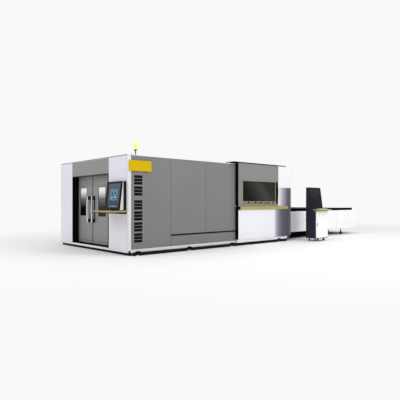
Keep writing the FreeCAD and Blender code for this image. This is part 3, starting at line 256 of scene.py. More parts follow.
def add_block(bm, low, high, bevel, segments=2, axes=None):
    """A box with rounded edges. axes gives its own origin and directions where it is tilted."""
    low, high = Vector(low), Vector(high)
    made = bmesh.ops.create_cube(bm, size=1)["verts"]
    size = high - low
    middle = (low + high) / 2
    for vert in made:
        vert.co = Vector([vert.co[k] * size[k] + middle[k] for k in range(3)])
    reach = min(bevel, 0.45 * min(abs(s) for s in size))
    edges = list({edge for vert in made for edge in vert.link_edges})
    result = bmesh.ops.bevel(
        bm, geom=edges, offset=reach, segments=segments, profile=0.5, affect="EDGES"
    )
    if axes is None:
        return
    origin, right, up, out = axes
    turned = {v for v in made if v.is_valid}
    for face in result["faces"]:
        for edge in face.edges:
            for near in edge.link_faces:
                turned |= set(near.verts)
    for vert in turned:
        c = vert.co.copy()
        vert.co = origin + right * c.x + up * c.y + out * c.z


def block_piece(name, finish, boxes, bevel=0.001, body="machine", slot=None):
    """A piece made of rounded blocks, each given by its low and high corners."""
    bm = bmesh.new()
    for low, high in boxes:
        add_block(bm, low, high, bevel)
    new_piece(name, bm, finish, body, slot)


def skin(bm, rings, closed=False):
    """Joins rings of vertices with faces, and caps both ends where it isn't closed."""
    for near, far in zip(rings, rings[1:] + (rings[:1] if closed else [])):
        for k in range(len(near)):
            after = (k + 1) % len(near)
            bm.faces.new((near[k], near[after], far[after], far[k]))
    if not closed:
        bm.faces.new(rings[0][::-1])
        bm.faces.new(rings[-1])


def add_spin(bm, profile, origin, axis, steps=32, closed=False):
    """A turned shape from (radius, distance along the axis) points. A closed one is open inside."""
    turn = Z.rotation_difference(Vector(axis).normalized()).to_matrix()
    rings = []
    for radius, along in profile:
        ring = []
        for k in range(steps):
            a = 2 * math.pi * k / steps
            spot = Vector((radius * math.cos(a), radius * math.sin(a), along))
            ring.append(bm.verts.new(Vector(origin) + turn @ spot))
        rings.append(ring)
    skin(bm, rings, closed)


def add_prism(bm, outline, step):
    """A flat outline of points, as thick as step."""
    skin(bm, [[bm.verts.new(Vector(v) + shift) for v in outline] for shift in (Vector(), step)])


def add_sweep(bm, path, section, outward, closed=False):
    """Carries a section along a path. Each section point is (sideways, outward) from it."""
    rings = []
    count = len(path)
    for k, spot in enumerate(path):
        before = path[k - 1] if closed or k else path[k]
        after = path[(k + 1) % count] if closed or k < count - 1 else path[k]
        along = (Vector(after) - Vector(before)).normalized()
        side = outward.cross(along).normalized()
        rings.append([bm.verts.new(Vector(spot) + side * s + outward * o) for s, o in section])
    skin(bm, rings, closed)


def quarter(steps):
    """Angles of a quarter turn."""
    return [math.pi / 2 * k / steps for k in range(steps + 1)]


def bowed_front(left, near, far, z, radius, steps):
    """Points round the front of a plate: along -X from near to far, with two round corners."""
    path = [(radius * (1 - math.sin(a)), near + radius * (1 - math.cos(a))) for a in quarter(steps)]
    path += [(radius * (1 - math.cos(a)), far - radius * (1 - math.sin(a))) for a in quarter(steps)]
    return [Vector((left + x, y, z)) for x, y in path]


def rounded_loop(centre, right, up, width, height, radius, steps=6):
    """Points of a rectangle with round corners, in the plane of right and up."""
    loop = []
    for k, (sx, sy) in enumerate(((1, 1), (-1, 1), (-1, -1), (1, -1))):
        for j in range(steps + 1):
            a = math.pi / 2 * (k + j / steps)
            across = sx * (width / 2 - radius) + radius * math.cos(a)
            along = sy * (height / 2 - radius) + radius * math.sin(a)
            loop.append(centre + right * across + up * along)
    return loop


def add_ring(bm, centre, right, up, out, width, height, band, depth, radius=0.02):
    """A picture-frame ring: band wide and depth thick, standing out from the plane."""
    half = band / 2
    soft = min(depth, band) * 0.3
    section = [
        (-half, 0), (half, 0), (half, depth - soft), (half - soft, depth), (-half + soft, depth),
        (-half, depth - soft),
    ]
    loop = rounded_loop(centre, right, up, width, height, radius)
    add_sweep(bm, loop, section, out, closed=True)


def on_face(spot, corner, outward):
    """A spot moved along outward onto the face that the corner lies in."""
    return Vector([c if o else p for p, c, o in zip(spot, corner, outward)])


def ring_round(name, finish, node, corner, right, out, margin, band, depth, radius, body):
    """A ring on the corner's face, as large as a node and the margin."""
    low, high = span(node)
    centre = on_face((low + high) / 2, corner, out)
    wide = abs((high - low).dot(right)) + margin
    bm = bmesh.new()
    add_ring(bm, centre, right, Z, out, wide, high.z - low.z + margin, band, depth, radius)
    new_piece(name, bm, finish, body)


def rectangle(left, low, right, high):
    return [(left, low), (right, low), (right, high), (left, high)]


def screw(radius, rim, face, top):
    """Profile of a screw head that starts a little under the surface."""
    sunk = -0.001
    return [(0, sunk), (radius, sunk), (radius, rim), (face, top), (0, top)]


# ---- finishes ----


def fill(tree, made, values):
    """Sets a node's inputs: a socket is linked, anything else is its value."""
    for key, value in values.items():
        if isinstance(value, bpy.types.NodeSocket):
            tree.links.new(value, made.inputs[key])
        else:
            made.inputs[key].default_value = value
    return made


def add_node(tree, kind, values=None, **settings):
    made = tree.nodes.new("ShaderNode" + kind)
    for key, value in settings.items():
        setattr(made, key, value)
    return fill(tree, made, values or {})


def shader(name):
    """A new material's tree, its surface and the piece's own coordinates."""
    material = bpy.data.materials.new(name)
    material.use_nodes = True
    finishes[name] = material
    tree = material.node_tree
    return tree, tree.nodes["Principled BSDF"], add_node(tree, "TexCoord").outputs["Object"]


def split(tree, place):
    return add_node(tree, "SeparateXYZ", {"Vector": place}).outputs


def noise(tree, place, scale, grain, stretch=None):
    """Noise in the piece's own coordinates, drawn out along stretch where it is given."""
    if stretch is not None:
        place = add_node(tree, "Mapping", {"Scale": stretch, "Vector": place}).outputs["Vector"]
    values = {"Scale": scale, "Detail": grain, "Vector": place}
    return add_node(tree, "TexNoise", values).outputs["Fac"]


def ramp(tree, source, stops):
    made = add_node(tree, "ValToRGB", {"Fac": source})
    elements = made.color_ramp.elements
    while len(elements) < len(stops):
        elements.new(0.5)
    for element, (position, colour) in zip(elements, stops):
        element.position = position
        element.color = (*colour, 1)
    return made.outputs["Color"]


def remap(tree, source, low, high, start=0.3, end=0.7):
    ends = {"From Min": start, "From Max": end, "To Min": low, "To Max": high}
    return add_node(tree, "MapRange", {**ends, "Value": source}).outputs["Result"]


def mix_shaders(tree, share, first, second, out):
    """Shows the first shader, and the second by its share."""
    mix = add_node(tree, "MixShader", {0: share, 1: first, 2: second})
    tree.links.new(mix.outputs["Shader"], out.inputs["Surface"])


def bump(tree, height, strength, distance):
    values = {"Strength": strength, "Distance": distance, "Height": height}
    return add_node(tree, "Bump", values).outputs["Normal"]


def shaded(colour, factor):
    return tuple(min(1.0, c * factor) for c in colour)


def clouded(tree, source, colour, wander):
    """A colour that wanders a little darker and lighter."""
    darker, lighter = shaded(colour, 1 - wander), shaded(colour, 1 + wander)
    return ramp(tree, source, [(0.3, darker), (0.7, lighter)])


def dress(made, base, shine, rough, relief):
    """Gives a surface its colour and shine, and its roughness and relief by noise.

    rough is the scale, detail, low and high, and relief the scale, detail, strength and depth.
    """
    tree, surface, place = made
    grain = noise(tree, place, *rough[:2])
    fill(tree, surface, {
        "Base Color": base,
        "Specular IOR Level": shine,
        "Roughness": remap(tree, grain, *rough[2:]),
        "Normal": bump(tree, noise(tree, place, *relief[:2]), *relief[2:]),
    })


def powder_coat(name, colour, roughness, grain, coat=0.0, wander=0.025, shine=0.4):
    """Sprayed and baked paint: faint cloudiness and a fine orange-peel surface."""
    tree, surface, place = made = shader(name)
    base = clouded(tree, noise(tree, place, 1.1, 3), colour, wander)
    dress(made, base, shine, (7, 4, roughness - 0.04, roughness + 0.05), (420, 2, grain, 0.0004))
    fill(tree, surface, {"Coat Weight": coat, "Coat Roughness": 0.12})


def metal(name, colour, roughness, stretch, streak=0.12):
    """Bare or brushed metal: fine streaks along the way it was drawn or rolled."""
    tree, surface, place = shader(name)
    lines = noise(tree, place, 60, 4, stretch)
    fill(tree, surface, {
        "Metallic": 1.0,
        "Base Color": clouded(tree, lines, colour, streak),
        "Roughness": remap(tree, lines, roughness - 0.06, roughness + 0.08),
        "Normal": bump(tree, lines, 0.15, 0.0003),
    })


def moulded(name, colour, roughness, grain, shine=0.35):
    """Moulded plastic or rubber with a fine leather-like grain."""
    tree, _, place = made = shader(name)
    base = clouded(tree, noise(tree, place, 9, 3), colour, 0.06)
    dress(made, base, shine, (25, 3, roughness - 0.05, roughness + 0.06), (700, 3, grain, 0.0003))


def glass(made, colour, smooth, smudged, shine):
    """The face of a pane: its colour, faint smudges and a slight waviness."""
    dress(made, colour, shine, (5, 4, smooth, smudged), (3, 1, 0.05, 0.0005))


def pane(name, cad_node, stops, roughness=0.06, shine=0.3):
    """Safety glass whose colour fades from its bottom to its top edge: a painted reflection."""
    tree, _, place = made = shader(name)
    low, high = span(cad_node)
    height = remap(tree, split(tree, place)["Z"], 0, 1, low.z, high.z)
    # painted reflection: the pane's colour follows its height
    painted_reflection = ramp(tree, height, stops)
    glass(made, painted_reflection, roughness - 0.02, roughness + 0.05, shine)


def bay_pane():
    """Dark laser-safe glass with one broad slanted band of painted highlight."""
    tree, _, place = made = shader("bay pane")
    low, high = span("side_door_glass")
    sides = split(tree, place)
    along = remap(tree, sides["X"], 0, 1, low.x, high.x)
    height = remap(tree, sides["Z"], 0, 0.35, low.z, high.z)
    slant = add_node(tree, "Math", {0: along, 1: height}, operation="ADD").outputs[0]
    # painted highlight: a grey band slanting across the pane
    greys = [(0.0, 0.004), (0.3, 0.006), (0.8, 0.045), (1.0, 0.022)]
    painted_sheen = ramp(tree, slant, [(at, [grey] * 3) for at, grey in greys])
    glass(made, painted_sheen, 0.1, 0.2, 0.12)


def painted_corner_reflection():
    """White coat that darkens to a cool grey round the bay's lower corner: a painted reflection of the
    dark kiosk beside it, with painted shade.
    """
    tree, _, place = made = shader("corner coat with painted reflection")
    white = tuple(paint().white)
    low, high = span("bay_corner_column")
    ledge_top = span("bay_ledge")[1].z
    sides = split(tree, place)
    along = remap(tree, sides["X"], 0, 1, low.x, high.x)
    # painted reflection and shade: grey ramps across the corner, below and above the ledge
    lower = ramp(tree, along, [
        (0.0, (0.62, 0.61, 0.67)), (0.06, (0.42, 0.41, 0.47)), (0.16, (0.21, 0.205, 0.25)),
        (0.32, (0.105, 0.1, 0.135)), (0.72, (0.07, 0.066, 0.095)), (1.0, (0.12, 0.115, 0.15)),
    ])
    upper = ramp(tree, along, [
        (0.0, white), (0.17, white), (0.32, (0.42, 0.41, 0.47)),
        (0.58, (0.1, 0.096, 0.13)), (0.8, (0.075, 0.072, 0.1)), (1.0, (0.15, 0.145, 0.19)),
    ])
    colour = (*white, 1)
    for shade, start, end in ((upper, 0.58, 0.61), (lower, -0.02, 0.02)):
        share = remap(tree, sides["Z"], 1, 0, ledge_top + start, ledge_top + end)
        mix = add_node(tree, "Mix", data_type="RGBA")
        colour = fill(tree, mix, {"Factor": share, 6: colour, 7: shade}).outputs[2]
    dress(made, colour, 0.4, (7, 4, 0.34, 0.44), (420, 2, 0.08, 0.0004))


def lit(name, colour, strength):
    """Plastic or glass that is lit from inside, a little unevenly."""
    tree, surface, place = shader(name)
    uneven = ramp(tree, noise(tree, place, 30, 2), [(0.2, shaded(colour, 0.85)), (0.8, colour)])
    glow = {"Emission Color": uneven, "Emission Strength": strength}
    fill(tree, surface, {**glow, "Base Color": uneven, "Roughness": 0.3})


def make_finishes():
    p = paint()
    powder_coat("white coat", p.white, 0.36, 0.08, coat=0.35, wander=0.012)
    powder_coat("cover white", (0.93, 0.93, 0.95), 0.4, 0.08, wander=0.01)
    powder_coat("column white", (0.78, 0.775, 0.84), 0.36, 0.08, coat=0.3, wander=0.012)
    painted_corner_reflection()
    powder_coat("roof coat", shaded(p.white, 0.98), 0.45, 0.1, wander=0.02)
    powder_coat("side grey", p.side_grey, 0.48, 0.12)
    powder_coat("door grey", p.door_grey, 0.45, 0.12)
    powder_coat("bay grey", p.bay_grey, 0.46, 0.12)
    powder_coat("black coat", p.black, 0.5, 0.15, wander=0.1, shine=0.08)
    powder_coat("navy coat", p.navy, 0.34, 0.1, coat=0.1, wander=0.08, shine=0.15)
    powder_coat("kiosk coat", (0.026, 0.023, 0.042), 0.42, 0.1, wander=0.08, shine=0.15)
    powder_coat("sign yellow", p.sign_yellow, 0.42, 0.08, wander=0.03, shine=0.05)
    powder_coat("ledge yellow", p.ledge_yellow, 0.4, 0.12, wander=0.07)
    powder_coat("frame grey", (0.32, 0.32, 0.33), 0.5, 0.15)
    powder_coat("bed grey", (0.1, 0.105, 0.11), 0.55, 0.25, wander=0.1)
    powder_coat("cheek silver", (0.62, 0.62, 0.63), 0.36, 0.08)
    powder_coat("brown strip", (0.016, 0.012, 0.006), 0.6, 0.4, wander=0.35, shine=0.1)
    powder_coat("seam shade", (0.2, 0.195, 0.25), 0.5, 0.1, wander=0.05)
    powder_coat("table black", (0.002, 0.002, 0.0022), 0.8, 0.15, wander=0.1, shine=0.01)
    powder_coat("border olive", (0.3, 0.262, 0.075), 0.5, 0.3, wander=0.15, shine=0.2)
    metal("slat steel", (0.34, 0.33, 0.32), 0.42, (1, 1, 0.05), 0.25)
    metal("rail steel", (0.55, 0.55, 0.56), 0.25, (0.04, 1, 1))
    metal("satin alloy", (0.66, 0.66, 0.66), 0.32, (1, 1, 0.06))
    metal("bright alloy", (0.9, 0.9, 0.91), 0.4, (1, 1, 0.06))
    metal("copper tip", (0.75, 0.36, 0.2), 0.3, (1, 1, 0.3))
    moulded("black rubber", (0.006, 0.006, 0.0065), 0.75, 0.5, shine=0.15)
    moulded("black plastic", (0.004, 0.004, 0.005), 0.45, 0.35, shine=0.15)
    moulded("key cream", (0.72, 0.69, 0.6), 0.5, 0.3)
    moulded("screen grey", (0.12, 0.12, 0.125), 0.4, 0.1)
    moulded("button red", (0.17, 0.006, 0.006), 0.3, 0.1)
    moulded("button green", (0.008, 0.09, 0.02), 0.3, 0.1)
    moulded("button dark", (0.05, 0.05, 0.06), 0.3, 0.1)
    bay_pane()
    # painted reflections on the door, console screen and kiosk panes
    pane("door pane", "near_door_glass", [
        (0.0, (0.001, 0.001, 0.001)), (0.3, (0.004, 0.004, 0.004)), (0.6, (0.16, 0.16, 0.16)),
        (0.86, (0.9, 0.9, 0.91)), (1.0, (1.0, 1.0, 1.0)),
    ], shine=0.1)
    pane("screen pane", "console_screen", [
        (0.0, (0.065, 0.07, 0.095)), (1.0, (0.11, 0.115, 0.145)),
    ], 0.2, 0.1)
    pane("kiosk pane", "kiosk_screen", [
        (0.0, (0.012, 0.012, 0.012)), (0.35, (0.004, 0.004, 0.004)), (1.0, (0.018, 0.018, 0.018)),
    ], 0.2, 0.12)
    lit("screen drawing", p.glow, 0.55)
    lit("lamp yellow", (0.86, 0.83, 0.09), 0.35)


# Each finish, and the CAD pieces that take it.
NODE_FINISHES = {
    "bed grey": "base_frame carriage",
    "black rubber": (
        "levelling_feet exchange_feet front_left_wheel front_right_wheel rear_left_wheel "
        "rear_right_wheel"
    ),
    "white coat": "base_rail bay_panel",
    "frame grey": "enclosure_frame exit_wall gantry",
    "column white": "near_corner_column far_corner_column",
    "door grey": "door_header near_door_leaf far_door_leaf",
    "black coat": "door_surround bay_roof_cap",
    "door pane": "near_door_glass far_door_glass",
    "side grey": "side_panels far_side_wall",
    "roof coat": "roof",
    "sign yellow": "sign_plate",
    "black plastic": "lamp_post console_housing",
    "corner coat with painted reflection": "bay_corner_column",
    "ledge yellow": "bay_ledge console_shelf kiosk_tray",
    "bay grey": "side_door_leaf side_door_frame",
    "bay pane": "side_door_glass",
    "satin alloy": "cutting_head kiosk_lock",
    "slat steel": "lower_pallet upper_pallet",
    "table black": "exchange_frame",
    "cover white": "exchange_covers kiosk_door",
    "navy coat": "console_bezel",
    "screen pane": "console_screen",
    "button red": "stop_button",
    "button dark": "push_button_1 push_button_3",
    "button green": "push_button_2",
    "kiosk coat": "kiosk_cabinet kiosk_head",
    "kiosk pane": "kiosk_screen",
    "rail steel": "front_left_caster front_right_caster rear_casters",
}
MANY_EDGED = {"lower_pallet", "upper_pallet", "levelling_feet", "exchange_feet"}
SMALL = set(
    "stop_button push_button_1 push_button_2 push_button_3 kiosk_lock cutting_head lamp_post "
    "front_left_caster front_right_caster rear_casters front_left_wheel front_right_wheel "
    "rear_left_wheel rear_right_wheel console_screen kiosk_screen near_door_glass "
    "far_door_glass side_door_glass".split()
)


class MACHINE_OT_finish_nodes(bpy.types.Operator):
    """Gives each CAD piece that shows its finish and a softly rounded edge"""

    bl_idname = "machine.finish_nodes"
    bl_label = "Finish the machine's own pieces"

    def execute(self, context):
        make_finishes()
        takes = {name: finish for finish, names in NODE_FINISHES.items() for name in names.split()}
        for name, finish in takes.items():
            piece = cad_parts[name]
            piece.data.materials.clear()
            piece.data.materials.append(finishes[finish])
            if name in MANY_EDGED:
                continue
            piece.modifiers.new("join", "WELD").merge_threshold = 0.00005
            edge = piece.modifiers.new("edge", "BEVEL")
            edge.width = 0.0008 if name in SMALL else detail().edge
            edge.segments = 2
            edge.limit_method = "ANGLE"
            edge.angle_limit = math.radians(40)
            edge.harden_normals = True
        return {"FINISHED"}


# ---- front doors ----


def pull(name, node, outward, across, body):
    """A bowed pull in place of a plain one: black end blocks, a base strip and a silver grip."""
    low, high = span(node)
    height = high.z - low.z
    reach = abs((high - low).dot(outward))
    wide = abs((high - low).dot(across))
    root = (low + high) / 2 - outward * (reach / 2)
    root.z = 0
    block_high = height * 0.14
    block_reach = reach - min(0.026, reach * 0.4)
    strip = min(0.018, block_reach * 0.3)
    axes = (root, across, Z, outward)
    ends = bmesh.new()
    for z in (low.z, high.z - block_high):
        add_block(ends, (-wide / 2, z, 0), (wide / 2, z + block_high, block_reach), 0.008, 3, axes)
    foot = (-wide * 0.42, low.z + 0.01, 0)
    add_block(ends, foot, (wide * 0.42, high.z - 0.01, strip), 0.004, 2, axes)
    ends_piece = new_piece(name + "_ends", ends, "black plastic", body)
    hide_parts(node)
    radius = detail().grip_radius
    start, end = low.z + 0.004, high.z - 0.004
    steps, sides = 24, 16
    path = []
    for k in range(steps + 1):
        t = k / steps
        bow = math.sin(math.pi * t)
        out = block_reach - radius * 0.4 + (reach - block_reach - radius * 0.6) * bow
        path.append(root + outward * out + Z * (start + (end - start) * t))
    turns = [2 * math.pi * k / sides for k in range(sides)]
    section = [(wide * 0.5 * math.cos(a), radius * math.sin(a)) for a in turns]
    grip = bmesh.new()
    add_sweep(grip, path, section, outward)
    new_piece(name + "_grip", grip, "bright alloy", body, smooth_angle=60)
    caps = bmesh.new()
    for z in (low.z + block_high * 0.5, high.z - block_high * 0.5):
        for side in (-1, 1):
            spot = root + Z * z + outward * block_reach * 0.5 + across * side * wide / 2
            add_spin(caps, screw(0.006, 0.001, 0.004, 0.002), spot, across * side, 16)
    new_piece(name + "_bolts", caps, "rail steel", body)


def meeting_seal():
    """A rubber strip on the near leaf that fills the gap between the two."""
    low, high = span("near_door_leaf")
    edge = span("far_door_leaf")[0].y - 0.0005
    foot, head = low.z + 0.004, high.z - 0.004
    block_piece("meeting_seal", "black rubber", [
        ((low.x - 0.0015, high.y - 0.03, foot), (low.x + 0.004, edge, head)),
        ((low.x - 0.0015, high.y - 0.006, foot), (high.x - 0.004, edge, head)),
    ], 0.0008, "near_door")


class MACHINE_OT_front_doors(bpy.types.Operator):
    """Seals, kick plates, window gaskets and pulls of the two front doors"""

    bl_idname = "machine.front_doors"
    bl_label = "Front doors"

    def execute(self, context):
        inset = 0.012
        for side in ("near", "far"):
            body = side + "_door"
            low, high = span(side + "_door_leaf")
            glass = side + "_door_glass"
            ring_round(
                side + "_window_gasket", "black rubber", glass, low, -Y, -X,
                0, detail().gasket, 0.004, 0.012, body,
            )
            block_piece(side + "_kick_plate", "door grey", [(
                (low.x - 0.0025, low.y + inset, low.z + 0.034),
                (low.x, high.y - inset, low.z + 0.092),
            )], body=body)
            levels = (low.z + 0.095, span(glass)[1].z + 0.055)
            block_piece(side + "_leaf_lines", "black coat", [
                ((low.x - 0.0008, low.y + inset, z), (low.x + 0.0005, high.y - inset, z + 0.004))
                for z in levels
            ], 0.0002, body)
            pull(side + "_pull", side + "_door_handle", -X, -Y, body)
        meeting_seal()
        return {"FINISHED"}


class MACHINE_OT_front_frame(bpy.types.Operator):
    """Dark edge strip over the end face, painted shade on the column's fold line and a black strip of
    painted shadow along the header's foot
    """

    bl_idname = "machine.front_frame"
    bl_label = "End face trim"

    def execute(self, context):
        roof_low, roof_high = span("roof")
        low, high = span("near_corner_column")
        path = bowed_front(roof_low.x, low.y, roof_high.y, roof_high.z - 0.006, 0.09, 8)
        bm = bmesh.new()
        add_sweep(bm, path, rectangle(-0.002, -0.006, 0.003, 0.007), Z)
        new_piece("end_top_strip", bm, "black coat")
        # painted shade: a thin strip in the seam shade finish along the column's fold
        fold = low.y + 0.069
        block_piece("column_fold_line", "seam shade", [(
            (low.x - 0.0008, fold, low.z + 0.02), (low.x + 0.001, fold + 0.009, high.z - 0.02),
        )], 0.0003)
        # painted shadow: a black strip along the header's foot
        low, high = span("door_header")
        block_piece("header_shadow_strip", "black coat", [(
            (low.x - 0.0015, low.y + 0.002, low.z + 0.0005),
            (low.x + 0.002, high.y - 0.002, low.z + 0.012),
        )], 0.0006)
        return {"FINISHED"}


# ---- long side ----


def panel_seals(panels):
    """Rubber behind each joint, and a black moulding in the one over the kick panels."""
    top = max(high.z for low, high in panels)
    bottom = min(low.z for low, high in panels)
    face, back = panels[0][0].y, panels[0][1].y
    starts = sorted({round(low.x, 4) for low, high in panels})
    upper = [low for low, high in panels if low.z > bottom + 0.1]
    joint_low = min(high.z for low, high in panels)
    joint_high = min(low.z for low in upper)
    left = min(low.x for low in upper)
    right = max(high.x for low, high in panels)
    block_piece("kick_moulding", "black rubber", [(
        (left, face - 0.0012, joint_low - 0.004), (right, face + 0.001, joint_high + 0.004),
    )], 0.0005)
    boxes = [((x - 0.016, back - 0.018, bottom), (x + 0.006, back - 0.006, top)) for x in starts]
    boxes.append(((left, back - 0.018, joint_low - 0.01), (right, back - 0.006, joint_high + 0.01)))
    block_piece("panel_seals", "black rubber", boxes)


def side_bars(low):
    """A stack of plain black blocks, each of three bars, thin as a decal."""
    count = detail().bar_count
    left = low.x + 0.075
    wide, gap, margin, pause = 0.235, 0.012, 0.028, 0.07
    bottom, top = low.z + 0.16, low.z + 1.81
    pitch = (top - bottom - pause) / count
    strip = (pitch - margin) / 3
    boxes = []
    for k in range(count):
        z = bottom + k * pitch + (pause if k >= count - 2 else 0)
        boxes += [
            (
                (left, low.y - 0.0012, z + j * strip),
                (left + wide, low.y + 0.0005, z + (j + 1) * strip - gap),
            )
            for j in range(3)
        ]
    block_piece("side_bars", "black coat", boxes, 0.0004)


def plate_rim():
    low, high = span("sign_plate")
    centre = on_face((low + high) / 2, low, -Y)
    wide, tall = high.x - low.x, high.z - low.z
    bm = bmesh.new()
    add_ring(bm, centre, X, Z, -Y, wide - 0.03, tall - 0.03, 0.004, 0.0015, 0.01)
    for dx in (-1, 1):
        for dz in (-1, 1):
            spot = centre + X * dx * (wide / 2 - 0.03) + Z * dz * (tall / 2 - 0.03)
            add_spin(bm, screw(0.007, 0.002, 0.004, 0.004), spot, -Y, 20)
    new_piece("plate_rim", bm, "sign yellow")


class MACHINE_OT_side_wall(bpy.types.Operator):
    """Backing seals in the seams, the plain bars on the first panel and the plate's rim"""

    bl_idname = "machine.side_wall"
    bl_label = "Long side"

    def execute(self, context):
        panels = solids("side_panels")
        panel_seals(panels)
        side_bars(panels[0][0])
        plate_rim()
        return {"FINISHED"}


def floor_gap_shadow_strips(feet, low, high, far_y):
    """Black strips that hang in the floor gap between the feet, set back from the skirting: painted
    shadow under the machine.
    """
    start, top = low.x, low.z + 0.004
    boxes = []
    for foot_low, foot_high in sorted((a.x, b.x) for a, b in feet) + [(high.x, high.x)]:
        end = max(foot_low - 0.004, start + 0.01)
        boxes += [((start, y, 0.003), (end, y + 0.006, top)) for y in (low.y + 0.008, far_y - 0.014)]
        start = foot_high + 0.004
    boxes.append(((low.x - 0.02, low.y + 0.10, 0.010), (low.x - 0.014, far_y - 0.10, top)))
    # painted shadow: black strips fill the floor gap under the skirting
    block_piece("floor_gap_shadow_strips", "black rubber", boxes)
    block_piece("skirt_edge_strip", "black rubber", [(
        (low.x + 0.002, low.y - 0.0015, low.z), (high.x, low.y + 0.001, low.z + 0.018),
    )], 0.0006)


def foot_brackets(feet, skirt_low):
    shape = ((0.1, 0), (0.09, 0.022), (0.055, 0.044))
    shape += tuple((-along, up) for along, up in reversed(shape))
    bm = bmesh.new()
    for foot_low, foot_high in feet:
        middle = (foot_low.x + foot_high.x) / 2
        outline = [(middle + x, skirt_low.y - 0.003, skirt_low.z + z) for x, z in shape]
        add_prism(bm, outline, Y * 0.004)
    new_piece("foot_brackets", bm, "black coat")


class MACHINE_OT_base_strips(bpy.types.Operator):
    """Black strips of painted shadow under the white skirting, with a bracket over each levelling foot
    """

    bl_idname = "machine.base_strips"
    bl_label = "Base strips"

    def execute(self, context):
        rail_low, rail_high = span("base_rail")
        middle = 0.5 * (rail_low.y + rail_high.y)
        feet = [box for box in solids("levelling_feet") if box[0].y < middle]
        near_skirts = [box for box in solids("base_rail") if box[0].y < 0]
        low, high = max(near_skirts, key=lambda box: box[1].x - box[0].x)
        floor_gap_shadow_strips(feet, low, high, rail_high.y)
        foot_brackets(feet, low)
        return {"FINISHED"}


# ---- bay ----


def ledge_cap():
    """A black end cap over the left end of the ledge."""
    low, high = span("bay_ledge")
    edge = 0.0015
    block_piece("ledge_end_cap", "black coat", [(
        (low.x - edge, low.y - edge, low.z - edge), (low.x + 0.05, high.y, high.z + edge),
    )], slot="ledge_yellow")


def notched_strip(low, start, end):
    """A scraper strip with uneven teeth along the foot of the glass."""
    chance = random.Random(4)
    foot = low.z + 0.008
    back = low.y + 0.001
    block_piece("scraper_band", "border olive", [(
        (start, low.y - 0.003, foot), (end, back, foot + 0.05),
    )], body="side_door")
    teeth = []
    x = start
    while x < end - 0.02:
        wide = chance.uniform(0.03, 0.10)
        tall = chance.uniform(0.012, 0.042)
        corner = (min(x + wide, end), back, foot + 0.032 + tall)
        teeth.append(((x, low.y - 0.005, foot + 0.012), corner))
        x += wide + chance.uniform(0.02, 0.08)
    block_piece("scraper_strip", "brown strip", teeth, 0.002, "side_door")


def bay_cheek(name, node, front, foot, head, body):
    """A black plate on the left side of a node, kept in from its edges."""
    low, high = span(node)
    block_piece(name, "black coat", [(
        (low.x - 0.002, low.y + front, low.z + foot),
        (low.x + 0.001, high.y - 0.002, high.z - head),
    )], 0.0008, body)


class MACHINE_OT_side_bay(bpy.types.Operator):
    """Window gasket, notched strip, black cheeks and pull of the bay"""

    bl_idname = "machine.side_bay"
    bl_label = "Side bay"

    def execute(self, context):
        low, high = span("side_door_frame")
        glass_low, glass_high = span("side_door_glass")
        for name, finish, margin, band, radius in (
            ("bay_window_gasket", "black rubber", 0.004, detail().gasket, 0.02),
            ("bay_window_border", "border olive", 0.038, 0.018, 0.03),
        ):
            ring_round(
                name, finish, "side_door_glass", low, X, -Y,
                margin, band, 0.003, radius, "side_door",
            )
        block_piece("stile_plate", "black coat", [(
            (glass_high.x + 0.038, low.y - 0.0012, low.z + 0.02),
            (high.x - 0.012, low.y + 0.002, high.z - 0.02),
        )], body="side_door")
        notched_strip(low, glass_low.x + 0.02, glass_high.x - 0.02)
        bay_cheek("door_cheek", "side_door_leaf", 0.003, 0.003, 0.003, "side_door")
        bay_cheek("panel_cheek", "bay_panel", 0.004, 0.002, 0.001, "machine")
        pull("side_pull", "side_door_handle", -Y, X, "side_door")
        ledge_cap()
        return {"FINISHED"}


# ---- lamp ----


class MACHINE_OT_lamp(bpy.types.Operator):
    """Ribbed lens of the signal lamp, with its base and pole foot"""

    bl_idname = "machine.lamp"
    bl_label = "Signal lamp"

    def execute(self, context):
        low, high = span("lamp_lens")
        radius = (high.x - low.x) / 2
        tall = high.z - low.z
        foot = Vector(((low.x + high.x) / 2, (low.y + high.y) / 2, low.z))
        ribs = 7
        step = (tall - 0.05) / ribs
        profile = [(0.0, 0.022), (radius * 0.86, 0.022)]
        for k in range(ribs):
            z = 0.026 + (tall - 0.05) * k / ribs
            rib = ((0.9, 0), (0.96, 0.3), (0.96, 0.7))
            profile += [(radius * share, z + step * rise) for share, rise in rib]
        crown = 0.024
        profile += [
            (radius * 0.9 * math.cos(a), tall - crown + crown * math.sin(a)) for a in quarter(6)
        ]
        bm = bmesh.new()
        add_spin(bm, profile, foot, Z, 40)
        lens = new_piece("lamp_dome", bm, "lamp yellow", smooth_angle=25)
        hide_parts("lamp_lens")
        base = [(0, 0), (radius, 0), (radius, 0.018), (radius * 0.9, 0.023), (0, 0.023)]
        flange = [(0, 0), (0.035, 0), (0.035, 0.006), (0.018, 0.012), (0.0165, 0.03), (0, 0.03)]
        bm = bmesh.new()
        add_spin(bm, base, foot, Z, 40)
        add_spin(bm, flange, Vector((foot.x, foot.y, span("lamp_post")[0].z)), Z)
        new_piece("lamp_collars", bm, "black plastic", slot="black_paint")
        return {"FINISHED"}


# ---- console ----


def console_cheeks():
    """Silver side plates that follow the wedge, with a black back edge left showing."""
    low, high = span("console_housing")
    centre, across, up, normal, wide, tall = flat_side("console_housing", -X)
    inset = 0.004
    back = high.x - 0.082
    top = centre + up * (tall / 2)
    foot = centre - up * (tall / 2)
    bm = bmesh.new()
    for y, step in ((low.y, -0.003), (high.y, 0.003)):
        outline = [
            (foot.x + inset, y, foot.z + inset), (back, y, foot.z + inset),
            (back, y, top.z - inset), (top.x + inset, y, top.z - inset),
        ]
        add_prism(bm, outline, Y * step)
    new_piece("console_cheeks", bm, "cheek silver")
    bm = bmesh.new()
    add_ring(bm, centre, across, up, normal, wide - 0.012, tall - 0.012, 0.01, 0.006, 0.016)
    new_piece("console_rim", bm, "navy coat")


